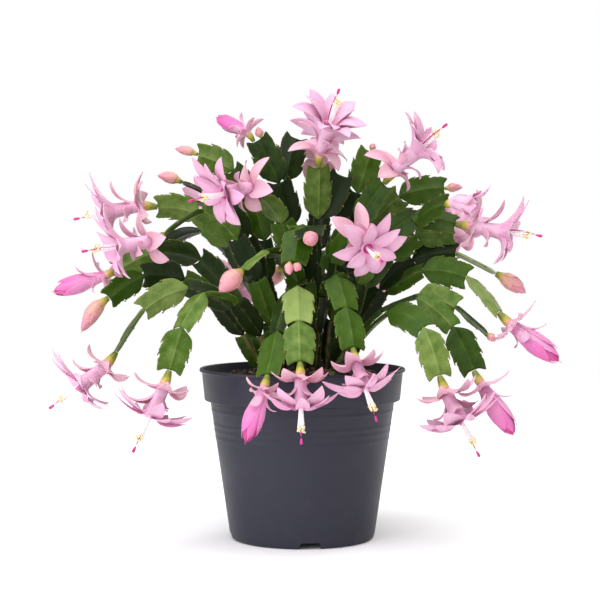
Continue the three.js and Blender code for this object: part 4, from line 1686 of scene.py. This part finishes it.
ALL_SIDES = (0.5, 1.5, 2.5, 3.5, 4.5, 5.5)  # sixths of a turn
OPEN_BELOW = (0.5, 1.5, 2.5, 4.5, 5.5)
OVARY = (
    (0, 0, 0), (0, 1.5, 0), (1.2, 1.9, 0), (3, 2.3, 0.1), (5, 2.75, 0.4), (7, 3.1, 0.8), (8.4, 3.15, 1),
    (8.9, 2.8, 1), (8.9, 0, 1),
)
HABITS = {
    Form.OPEN: Habit(
        ovary=OVARY,
        body=(
            (7.8, 0, 0.4), (7.8, 2.3, 0.4), (9, 3, 0.45), (11.6, 3.8, 0.5), (16, 4, 0.5), (22, 4.3, 0.48),
            (26, 4.7, 0.45), (29, 5, 0.5), (30.4, 4.8, 0.55), (30.7, 4.2, 0.6), (30.2, 3.5, 0.75),
            (29.2, 2.7, 1), (28.6, 2, 1), (28.4, 0, 1),
        ),
        whorls=(
            Whorl(9.6, 3.1, 20, 11.5, 68, 142, 1, OPEN_BELOW, tone=0.12, cup=0.2, reflex=-4),
            Whorl(16.5, 3.9, 18, 8.4, 30, 116, 1.3, (0.1, 2.1, 4.3), tone=0.3),
            Whorl(28.2, 4.9, 25, 11.4, 34, 98, 0.9, ALL_SIDES, tone=0.46, reflex=50),
            Whorl(29.8, 4.8, 20.5, 9.4, 24, 86, 0.9, (0, 1, 2, 4, 5), tone=0.5, reflex=52),
        ),
        threads=True,
    ),
    Form.CLOSED: Habit(
        ovary=OVARY,
        body=(
            (7.8, 0, 0.6), (7.8, 2.3, 0.6), (9, 2.9, 0.6), (11.6, 3.7, 0.6), (19, 4.3, 0.7), (25, 5.3, 0.8),
            (29, 6, 0.8), (35, 5.6, 0.9), (41, 4.2, 0.9), (46, 2, 1), (48, 0, 1),
        ),
        whorls=(
            Whorl(9.6, 3, 19, 7.6, 65, 125, 1, OPEN_BELOW, tone=0.2, cup=0.24),
            Whorl(14, 3.8, 17, 7, 14, 95, 1.7, (0.2, 2.1, 4.3), tone=0.45),
        ),
        wraps=(
            Wrap(13, 43, 46, 3, 20, 0.6, 1.8, 0.66),
            Wrap(16, 47, 50, 3, 80, 0.35, 0.9, 0.72),
            Wrap(20, 49.5, 44, 3, 30, 0.12, 0.2, 0.84),
        ),
    ),
    Form.HALF: Habit(
        ovary=(
            (0, 0, 0), (0, 1.2, 0), (1, 1.9, 0), (2.4, 2.5, 0.2), (3.8, 2.8, 0.5), (5.2, 3, 0.9),
            (5.8, 2.6, 1), (5.8, 0, 1),
        ),
        body=(
            (4.8, 0, 0.4), (4.8, 2.4, 0.4), (7, 3.7, 0.4), (11, 4.2, 0.45), (16, 4.3, 0.5), (20, 3.6, 0.5),
            (23.2, 1.6, 0.6), (24, 0, 0.6),
        ),
        whorls=(
            Whorl(17, 4.4, 15, 7.2, 25, 108, 1, (0.5, 2.5, 4.5), tone=0.45),
            Whorl(12.5, 4.2, 13, 7, 18, 80, 1.4, (0, 1.5, 3.5, 5.2), tone=0.3),
        ),
        wraps=(Wrap(8, 22.5, 46, 5, 15, 0.5, 1.4, 0.4), Wrap(12, 25, 44, 4, 40, 0.3, 0.2, 0.5)),
    ),
}


def bud_habit(length: float, width: float) -> Habit:
    """Works out what a bud is made of, from its length and width.

    Formula: the shares of the length and width of the bud's solid, with petals in three layers, each longer
    than the last.

    Args:
        length: From its base to its tip.
        width: Across at the thickest.

    Returns:
        Its habit.
    """
    shares = (
        (0.2, 0), (0.2, 0.29), (0.3, 0.4), (0.45, 0.47), (0.6, 0.44), (0.78, 0.32), (0.92, 0.15), (0.97, 0),
    )
    base = ((0, 0), (0, 0.18), (0.06, 0.22), (0.14, 0.28), (0.22, 0.31), (0.25, 0.27), (0.25, 0))
    lift = 0.03 * width
    return Habit(
        ovary=tuple((share * length, part * width, 4 * share) for share, part in base),
        body=tuple((share * length, part * width, 0.6) for share, part in shares),
        wraps=(
            Wrap(0.16 * length, 0.56 * length, 40, 4, 12, 1.9 * lift, 0.6 * lift, 0.3),
            Wrap(0.2 * length, 0.8 * length, 46, 4, 55, 1.2 * lift, 0.5 * lift, 0.5),
            Wrap(0.3 * length, length, 50, 4, 20, 0.6 * lift, 0.0, 0.7),
        ),
    )


class Axis:
    """The bent middle line of a flower or bud, with a frame at each distance from the base."""

    LEG = 8.5  # of the two over which it bends
    SIXTH = 60.0  # of a turn, in degrees
    LEVEL = 0.05  # below this the segment and the flower point the same way

    def __init__(self, base: Array, along: Array, points: Triple, size: float, spin: float) -> None:
        """Sets the line: it leaves the base along the segment, and bends over two legs to where it points.

        Args:
            base: Where it stands.
            along: The unit way of the segment that carries it.
            points: The way that it points.
            size: Its share of the full size.
            spin: Its turn about its own way, in degrees.
        """
        self.base = base
        self.along = along
        self.points = unit(np.array(points, float))
        self.leg = self.LEG * size
        level = np.cross(along, self.points)
        if np.linalg.norm(level) < self.LEVEL:
            level = np.cross(UP, self.points)
        self.level = unit(level)
        self.spin = spin

    def frames(self, reach: Array) -> tuple[Array, Array, Array, Array]:
        """Reads the line.

        Formula: (1 - t)^2 base + 2 t (1 - t) knee + t^2 hip over the first two legs, then straight on. The
        way goes evenly from that of the segment to where the flower points.

        Args:
            reach: Distances from the base.

        Returns:
            Points, ways, and two ways square to them and to each other, the first turned by the spin.
        """
        reach = np.asarray(reach, float)
        t = np.clip(reach / (2 * self.leg), 0, 1)[:, None]
        knee = self.base + self.along * self.leg
        hip = knee + self.points * self.leg
        beyond = np.maximum(reach - 2 * self.leg, 0)[:, None]
        at = self.base * (1 - t) ** 2 + knee * 2 * t * (1 - t) + hip * t * t + self.points * beyond
        at = at + self.along * np.minimum(reach, 0)[:, None]
        way = unit(self.along * (1 - t) + self.points * t)
        first = unit(self.level - way * (way @ self.level)[:, None])
        first = turned(first, way, self.spin)
        return at, way, first, np.cross(way, first)


@dataclass
class Blossom:
    """A flower or a bud on the tip of a stem."""

    name: str
    node: str
    slot: str
    axis: Axis
    habit: Habit
    size: float
    seed: int
    around: int = 30
    petal_rows: int = 22
    petal_across: tuple[float, ...] = (0, 0.2, 0.42, 0.64, 0.83, 0.95, 1.0)
    half_thickness: float = 0.26
    claw: float = 0.1  # share of a petal that lies on the body
    longer: float = 0.2  # how much longer a petal is that points up
    straighter: float = 24.0  # and by how many degrees less it curls
    hanging: tuple[float, float] = (1.4, 0.65)  # how much of a whorl's reflex both angles gain by hanging
    deepens: float = 0.22  # how much deeper in tone a closed petal is at its tip than at its base
    twists: float = 14.0  # the usual turn of a petal's tip, in degrees
    creased: float = 0.1  # how much a petal folds along its middle, as a share of its width
    ripples: float = 0.32  # how far its edge rises and falls
    sunk: float = 0.55  # how far the claw lies in the body
    ring_step: float = 1.1  # between the rings of a round body, at most
    throat: float = 26.0  # where the threads start, from the base
    stamens: int = 28
    stamen_ends: tuple[float, float] = (42.5, 46.5)
    filament: float = 0.28  # radius
    anther: tuple[float, float] = (1.8, 0.9)  # length and width
    style_end: float = 50.5
    style: float = 0.42  # radius
    style_side: float = 2.4  # where the style leaves the stamens, in radians round the flower
    lobes: int = 6  # of the stigma
    lobe: tuple[float, float] = (4.4, 1.25)  # length and width
    lobe_spread: float = 0.14

    def __post_init__(self) -> None:
        """Seeds the flower's own draws."""
        self.dice = np.random.default_rng(self.seed)
        self.v = np.array([*self.petal_across[::-1], *(-x for x in self.petal_across[1:])])

    def lathe(self, skin: Skin, outline: tuple[Triple, ...], finish: int) -> None:
        """Adds a round body.

        Formula: rings along the middle line, with the radii and tones of a smooth curve through the outline,
        whose first and last points lie on the line and close it.

        Args:
            skin: Where it is added.
            outline: Distances from the base, radii and tones.
            finish: Its finish.
        """
        places = np.array(outline, float)
        rim = places[1:-1]
        stretch = np.concatenate([[0], np.cumsum(np.linalg.norm(np.diff(rim[:, :2], axis=0), axis=1))])
        fine = np.unique(np.concatenate([stretch, np.arange(0, stretch[-1], self.ring_step)]))
        rows = np.stack([curve_through(fine, stretch, rim[:, i]) for i in range(3)], axis=1)
        rows = np.concatenate([places[:1], rows, places[-1:]])
        at, _, first, second = self.axis.frames(rows[:, 0] * self.size)
        angles = np.arange(self.around) * 2 * np.pi / self.around
        ring = spoke(first[:, None], second[:, None], angles[:, None])
        points = at[:, None] + ring * (np.maximum(rows[:, 1], 0) * self.size)[:, None, None]
        # The marks start past the middle, because a body has no deep base as a petal has.
        shares = np.linspace(0.55, 1, len(rows))
        skin.add(points, round_marks(shares, self.around), finish, rows[:, 2])

    def petal(self, skin: Skin, whorl: Whorl, face: float) -> None:
        """Adds one petal that stands off the body.

        Formula: it lies in the body for a claw's length, and then its angle from the flower's way goes from
        `leaves` to `ends` as the share of its length to `power`. Both are larger on a flower that hangs, by
        its reflex, and `ends` is smaller for a petal on the upper side. The middle line is the running sum of
        cos(angle) * way + sin(angle) * out. The width narrows to the claw and to a point at the tip. The
        sides hug the body at the claw, further on they rise towards the inner face as the square of the
        distance from the middle, and the whole twists a little. It thins to its edges and its tip, and is
        never thicker than four fifths of its half width.

        Args:
            skin: Where it is added.
            whorl: Its whorl.
            face: Its place round the flower, in sixths of a turn.
        """
        dice = self.dice
        at, way, first, second = (rows[0] for rows in self.axis.frames(np.array([whorl.reach * self.size])))
        out = spoke(first, second, math.radians(Axis.SIXTH * face + 4 * dice.normal()))
        across_way = np.cross(way, out)
        length = whorl.length * self.size * (1 + self.longer * out[2]) * (1 + 0.05 * dice.normal())
        hang = whorl.reflex * max(0.0, -way[2])
        leaves = whorl.leaves + self.hanging[0] * hang
        ends = whorl.ends - self.straighter * out[2] + self.hanging[1] * hang + 6 * dice.normal()

        s = self.shares()
        free = np.clip((s - self.claw) / (1 - self.claw), 0, 1)
        lean = np.radians(leaves + (ends - leaves) * free**whorl.power) * smooth_step(0, 2 * self.claw, s)
        ahead = way * np.cos(lean)[:, None] + out * np.sin(lean)[:, None]
        steps = (ahead[1:] + ahead[:-1]) / 2 * np.diff(s)[:, None] * length
        start = at - way * self.claw * length + out * (whorl.radius - 0.3) * self.size
        spine = start + np.concatenate([np.zeros((1, 3)), np.cumsum(steps, axis=0)])
        spine = spine + across_way * (1.1 * dice.normal() * self.size * s**2)[:, None]

        twist = (self.twists * dice.normal() * s)[:, None]
        side = turned(np.broadcast_to(across_way, ahead.shape), ahead, twist)
        up = np.cross(ahead, side)
        # Half the width along the petal, as shares of the most.
        widest = 0.44 + 0.04 * dice.normal()
        profile = curve_through(s, [0, 0.12, widest, 0.73, 0.89, 1.0], [0.5, 0.64, 1.0, 0.77, 0.39, 0.0])
        half = whorl.width / 2 * self.size * (1 + 0.05 * dice.normal()) * np.maximum(profile, 0)
        across = half[:, None] * self.v
        reach = np.abs(self.v)
        cup = whorl.cup + 0.07 * dice.normal()
        crease = self.creased + 0.05 * dice.normal()
        phase, waves = dice.uniform(0, 6), dice.uniform(5, 9)
        ripple = np.sin(s[:, None] * waves + phase + 2 * self.v) * reach**3 * s[:, None]
        hug = across**2 / (2 * whorl.radius * self.size) * smooth_step(0.3, 0.05, s)[:, None]
        own = half[:, None] * (cup * 2 * reach**2 + crease * reach) * (1 - 0.6 * s[:, None])
        height = hug + own * smooth_step(0.05, 0.3, s)[:, None] + self.ripples * self.size * ripple
        spine = spine - out * (self.sunk * self.size * smooth_step(1.3 * self.claw, 0, s))[:, None]
        thick = self.half_thickness * self.size * (1 - reach**6) ** 0.5
        thick = thick * (ends_at(s) * (1.2 - 0.4 * s))[:, None]
        thick = np.minimum(thick, 0.4 * half[:, None])
        points = blade(spine, side, up, across, height, thick)
        skin.add(points, face_marks(s, self.v), tone=self.shade(whorl.tone))

    def shares(self) -> Array:
        """Returns the shares of a petal's length at its rows, closer together at both ends."""
        even = np.linspace(0, 1, self.petal_rows)
        return 0.5 * even + 0.25 * (1 - np.cos(np.pi * even))

    def shade(self, tone: float) -> float:
        """Returns a tone with a small draw added."""
        return float(np.clip(tone + 0.05 * self.dice.normal(), 0, 1))

    def wrapped(self, skin: Skin, wrap: Wrap, centre: float) -> None:
        """Adds one petal that lies round the body.

        Formula: at a share s of its length it spans an angle of half_turn * width(s) to both sides of its
        centre, at the body's radius and a lift, and its tip stands off by the flare times s^3. One side is
        lifted less, so that it lies under its neighbour. Its tone deepens evenly from base to tip.

        Args:
            skin: Where it is added.
            wrap: Its layer.
            centre: Its place round the body, in degrees.
        """
        dice = self.dice
        s = self.shares()
        reach = wrap.start + (wrap.end - wrap.start) * s * (1 + 0.02 * dice.normal())
        body = np.array(self.habit.body)[1:]
        radius = np.interp(reach, body[:, 0], body[:, 1]) * self.size
        at, _, first, second = self.axis.frames(reach * self.size)
        profile = curve_through(s, [0, 0.25, 0.55, 0.8, 0.93, 1.0], [0.75, 1.0, 0.98, 0.66, 0.34, 0.0])
        v = self.v[::-1]
        angle = centre + 5 * dice.normal() + wrap.half_turn * np.maximum(profile, 0)[:, None] * v
        angle = np.radians(angle + 10 * dice.normal() * s[:, None])
        over = wrap.lift * (1 + 0.55 * v) + 0.06 * (1 - v**2)
        off = over * np.minimum(1, 4 * s[:, None]) + wrap.flare * s[:, None] ** 3
        thick = self.half_thickness * 0.8 * min(1.0, wrap.lift / 0.3)
        thick = thick * (1 - v**4) ** 0.5 * ends_at(s)[:, None]
        ring = spoke(first[:, None], second[:, None], angle[..., None])
        outer = at[:, None] + ring * (radius[:, None] + (off + thick) * self.size)[..., None]
        inner = at[:, None] + ring * (radius[:, None] + (off - thick) * self.size)[..., None]
        tones = np.clip(self.shade(wrap.tone) + self.deepens * (s - 0.5), 0, 1)
        skin.add(join_faces(outer, inner), face_marks(s, v), tone=tones)

    def threads(self, skin: Skin) -> None:
        """Adds the stamens and the style.

        Formula: each thread follows the middle line from inside the throat. A stamen moves out at its own
        angle as the share s of its way to 1.3, and up as s^2. The style leaves the line to one side and up by
        sin(pi s / 1.3), and less to the side on a flower that hangs. Filaments end in anthers, the style in a
        stigma of narrow lobes.

        Args:
            skin: Where they are added.
        """
        dice = self.dice
        s = np.linspace(0, 1, 12)
        for i in range(self.stamens):
            end = dice.uniform(*self.stamen_ends)
            at, _, first, second = self.axis.frames((self.throat + (end - self.throat) * s) * self.size)
            out = spoke(first, second, 2 * math.pi * (i + 0.3 * dice.normal()) / self.stamens)
            spread = (0.9 + dice.uniform(0.1, 1.7) * s**1.3) * self.size
            path = at + out * spread[:, None] + UP * (self.size * s**2)[:, None]
            radii = np.full(len(s), self.filament * self.size)
            radii[[0, -1]] = 0.0
            skin.add(tube(path, radii), round_marks(s, 6), Part.FILAMENT)
            tip_way = unit(path[-1] - path[-3] + 0.5 * dice.normal(size=3) * self.size)
            self.egg(skin, path[-1] + tip_way * 0.5 * self.size, tip_way, self.anther, Part.ANTHER)

        along = self.throat + (self.style_end - self.throat) * s
        at, way, first, second = self.axis.frames(along * self.size)
        beside = (0.4 + 1.8 * min(1.0, 1 + float(way[-1][2]))) * self.size
        out = spoke(first, second, self.style_side) * beside + UP * self.size
        path = at + out * np.sin(np.pi * s / 1.3)[:, None]
        radii = self.style * self.size * (1 - 0.15 * s)
        radii[[0, -1]] = 0.0
        skin.add(tube(path, radii, 8), round_marks(s, 8), Part.STYLE)
        for i in range(self.lobes):
            out = spoke(first[-1], second[-1], 2 * math.pi * i / self.lobes)
            lobe_way = unit(way[-1] + out * self.lobe_spread)
            self.egg(skin, path[-1] + lobe_way * 1.9 * self.size, lobe_way, self.lobe, Part.STYLE)

    def egg(self, skin: Skin, centre: Array, way: Array, sizes: tuple[float, float], finish: int) -> None:
        """Adds a small egg.

        Args:
            skin: Where it is added.
            centre: Its middle.
            way: The direction of its length.
            sizes: Its length and width on a flower of full size.
            finish: Its finish.
        """
        length, width = sizes
        points = knob(centre, way, length * self.size, width * self.size)
        skin.add(points, round_marks(np.arange(7), 8), finish)

    def build(self, finishes: list[bpy.types.Material]) -> None:
        """Builds and dresses the flower or bud.

        Args:
            finishes: One for each Part, in its order.
        """
        skin = Skin()
        self.lathe(skin, self.habit.ovary, Part.OVARY)
        self.lathe(skin, self.habit.body, Part.PETAL)
        for whorl in self.habit.whorls:
            for face in whorl.faces:
                self.petal(skin, whorl, face)
        for wrap in self.habit.wraps:
            for i in range(wrap.count):
                self.wrapped(skin, wrap, wrap.first + 360 / wrap.count * i)
        if self.habit.threads:
            self.threads(skin)
        skin.make(self.name, finishes, self.slot, self.node)


def blossoms_of(place_name: str, arches: list[GrownArch], number: int) -> list[Blossom]:
    """Sets the flowers and buds of a stem on the tips of its arches.

    Args:
        place_name: The stem's place.
        arches: The grown arches.
        number: The stem's number, which seeds the draws.

    Returns:
        The flowers and buds, named in order.
    """
    made = {"bloom": 0, "bud": 0}
    blossoms = []
    for arch in arches:
        tip = arch.segments[-1]
        for one in arch.bears:
            kind = "bud" if isinstance(one, Bud) else "bloom"
            made[kind] += 1
            base = arch.joints[-1] + tip.along * GAP + tip.side * one.aside
            # Each stem has a thousand seeds, and each of its flowers and buds ten.
            seed = 1000 * number + 10 * made[kind] + (kind == "bud")
            ending = f"{place_name}_{made[kind]}"
            if isinstance(one, Bud):
                axis = Axis(base, tip.along, one.points, 1.0, 0.0)
                made_of = ("bud", axis, bud_habit(*one.shape), 1.0)
            else:
                axis = Axis(base, tip.along, one.points, one.size, one.spin)
                made_of = ("petal", axis, HABITS[one.form], one.size)
            title = "flower_bud" if kind == "bud" else "flower"
            blossoms.append(Blossom(f"{title}_{ending}", f"{kind}_{ending}", *made_of, seed))
    return blossoms


# -------------------- studio


@dataclass(frozen=True)
class Lamp:
    """A soft box: where it hangs, its sides in metres, its power in watts and its colour."""

    name: str
    place: Triple
    size: tuple[float, float]
    power: float
    colour: str = "#ffffff"

    def hang(self, target: Vector) -> None:
        """Hangs the lamp so that it faces the target.

        Args:
            target: The point that it faces, in metres.
        """
        light = bpy.data.lights.new(self.name, "AREA")
        light.shape = "RECTANGLE"
        light.size, light.size_y = self.size
        light.energy = self.power
        light.color = linear(self.colour)[:3]
        lamp = bpy.data.objects.new(self.name, light)
        lamp.location = self.place
        lamp.rotation_euler = (target - lamp.location).to_track_quat("-Z", "Y").to_euler()
        bpy.context.scene.collection.objects.link(lamp)


@dataclass
class Studio:
    """A pale floor, soft boxes, a bright surround and the camera."""

    lamps: tuple[Lamp, ...] = (
        Lamp("overhead", (-0.1, -0.4, 1.7), (2.2, 2.0), 37.0),
        Lamp("front", (-0.4, -1.7, 0.8), (1.8, 1.4), 14.0),
        Lamp("key", (-1.4, -1.0, 0.5), (1.2, 1.2), 15.5, "#f2f4ff"),
        Lamp("rim", (0.9, 1.2, 0.9), (0.9, 0.9), 8.0),
    )
    surround: str = "#ffffff"
    surround_strength: float = 0.48
    backdrop_strength: float = 1.0
    floor_radius: float = 1.15
    floor_sides: int = 96
    lens: float = 99.36
    sensor: float = 36.0
    camera_place: Triple = (-0.0015, -1.05, 0.189)
    camera_pitch: float = 2.07  # degrees below the level
    camera_reach: float = 30.0

    def build(self, target: Vector) -> None:
        """Sets up the floor, the lights and the camera.

        Args:
            target: What the lamps face.
        """
        floor_mesh = bpy.data.meshes.new("floor")
        corners = turn_round(np.array([[self.floor_radius, 0.0]]), self.floor_sides)[0]
        floor_mesh.from_pydata(corners.tolist(), [], [tuple(range(self.floor_sides))])
        floor = bpy.data.objects.new("floor", floor_mesh)
        bpy.context.scene.collection.objects.link(floor)
        floor_mesh.materials.append(MattPaper("matt_paper", roughness=0.9).make())
        floor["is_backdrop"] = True

        for lamp in self.lamps:
            lamp.hang(target)
        world = bpy.data.worlds.new("surround")
        world.use_nodes = True
        tree = world.node_tree
        soft = tree.nodes["Background"]
        soft.inputs["Color"].default_value = linear(self.surround)
        soft.inputs["Strength"].default_value = self.surround_strength
        # What shows behind the plant is white paper, brighter than the room that lights it.
        paper = add_node(tree, "Background", linear(self.surround), self.backdrop_strength)
        seen = add_node(tree, "LightPath", out="Is Camera Ray")
        both = add_node(tree, "MixShader", seen, soft.outputs[0], paper)
        tree.links.new(both, tree.nodes["World Output"].inputs["Surface"])
        bpy.context.scene.world = world

        lens = bpy.data.cameras.new("camera")
        lens.lens = self.lens
        lens.sensor_width = self.sensor
        lens.clip_end = self.camera_reach
        camera = bpy.data.objects.new("camera", lens)
        camera.location = self.camera_place
        camera.rotation_euler = (math.radians(90 - self.camera_pitch), 0, 0)
        bpy.context.scene.collection.objects.link(camera)
        bpy.context.scene.camera = camera
        bpy.context.scene.view_settings.view_transform = "Standard"


# -------------------- the whole plant


def main() -> None:
    """Builds the plant over its frame and lights it."""
    logging.basicConfig(level=logging.INFO, format="%(name)s: %(message)s")
    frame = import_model()
    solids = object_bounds()
    log.info("loaded %d nodes", len(frame["nodes"]))

    leaf = LeafSkin("waxy_leaf_skin", roughness=0.45, specular=0.2).make()
    bark = Bark("corky_bark", roughness=0.85).make()
    ovary = OvarySkin("ovary_skin", roughness=0.42).make()
    filament = Thread("filament", roughness=0.35).make()
    anther = Thread("pollen_anther", roughness=0.8, colour="#e6d79a", pale="#f5ecc8", spots=0.6).make()
    style = Thread("style_and_stigma", roughness=0.35, colour="#b4106e", pale="#d43a94").make()
    petal = PetalSkin("satin_petal", roughness=0.5, subsurface=0.3, depth=0.8, sheen=0.1, specular=0.3).make()
    bud_petal = PetalSkin(
        "bud_petal",
        roughness=0.42,
        subsurface=0.15,
        depth=0.8,
        shades=("#c99a80", "#cf9a8c", "#cc8f8e", "#c98492", "#c47594"),
        base="#b9945c",
        vein="#bd6a80",
        base_share=0.6,
        pale_share=0.0,
    ).make()

    Pot().build(MouldedPlastic("satin_polypropylene", roughness=0.45, ior=1.49, specular=0.25).make())
    stems = [LeafyStem(name, stem, i + 1) for i, (name, stem) in enumerate(STEMS.items())]
    Soil().build(Peat("peat_mix", roughness=0.95).make(), [stem.foot for stem in STEMS.values()])
    for stem in stems:
        stem.build([leaf, bark])
    for stem in stems:
        for blossom in blossoms_of(stem.name, stem.arches, stem.number):
            skin = bud_petal if blossom.slot == "bud" else petal
            blossom.build([skin, ovary, filament, anther, style])

    low, high = solids
    Studio().build((low + high) / 2)


if __name__ == "__main__":
    main()
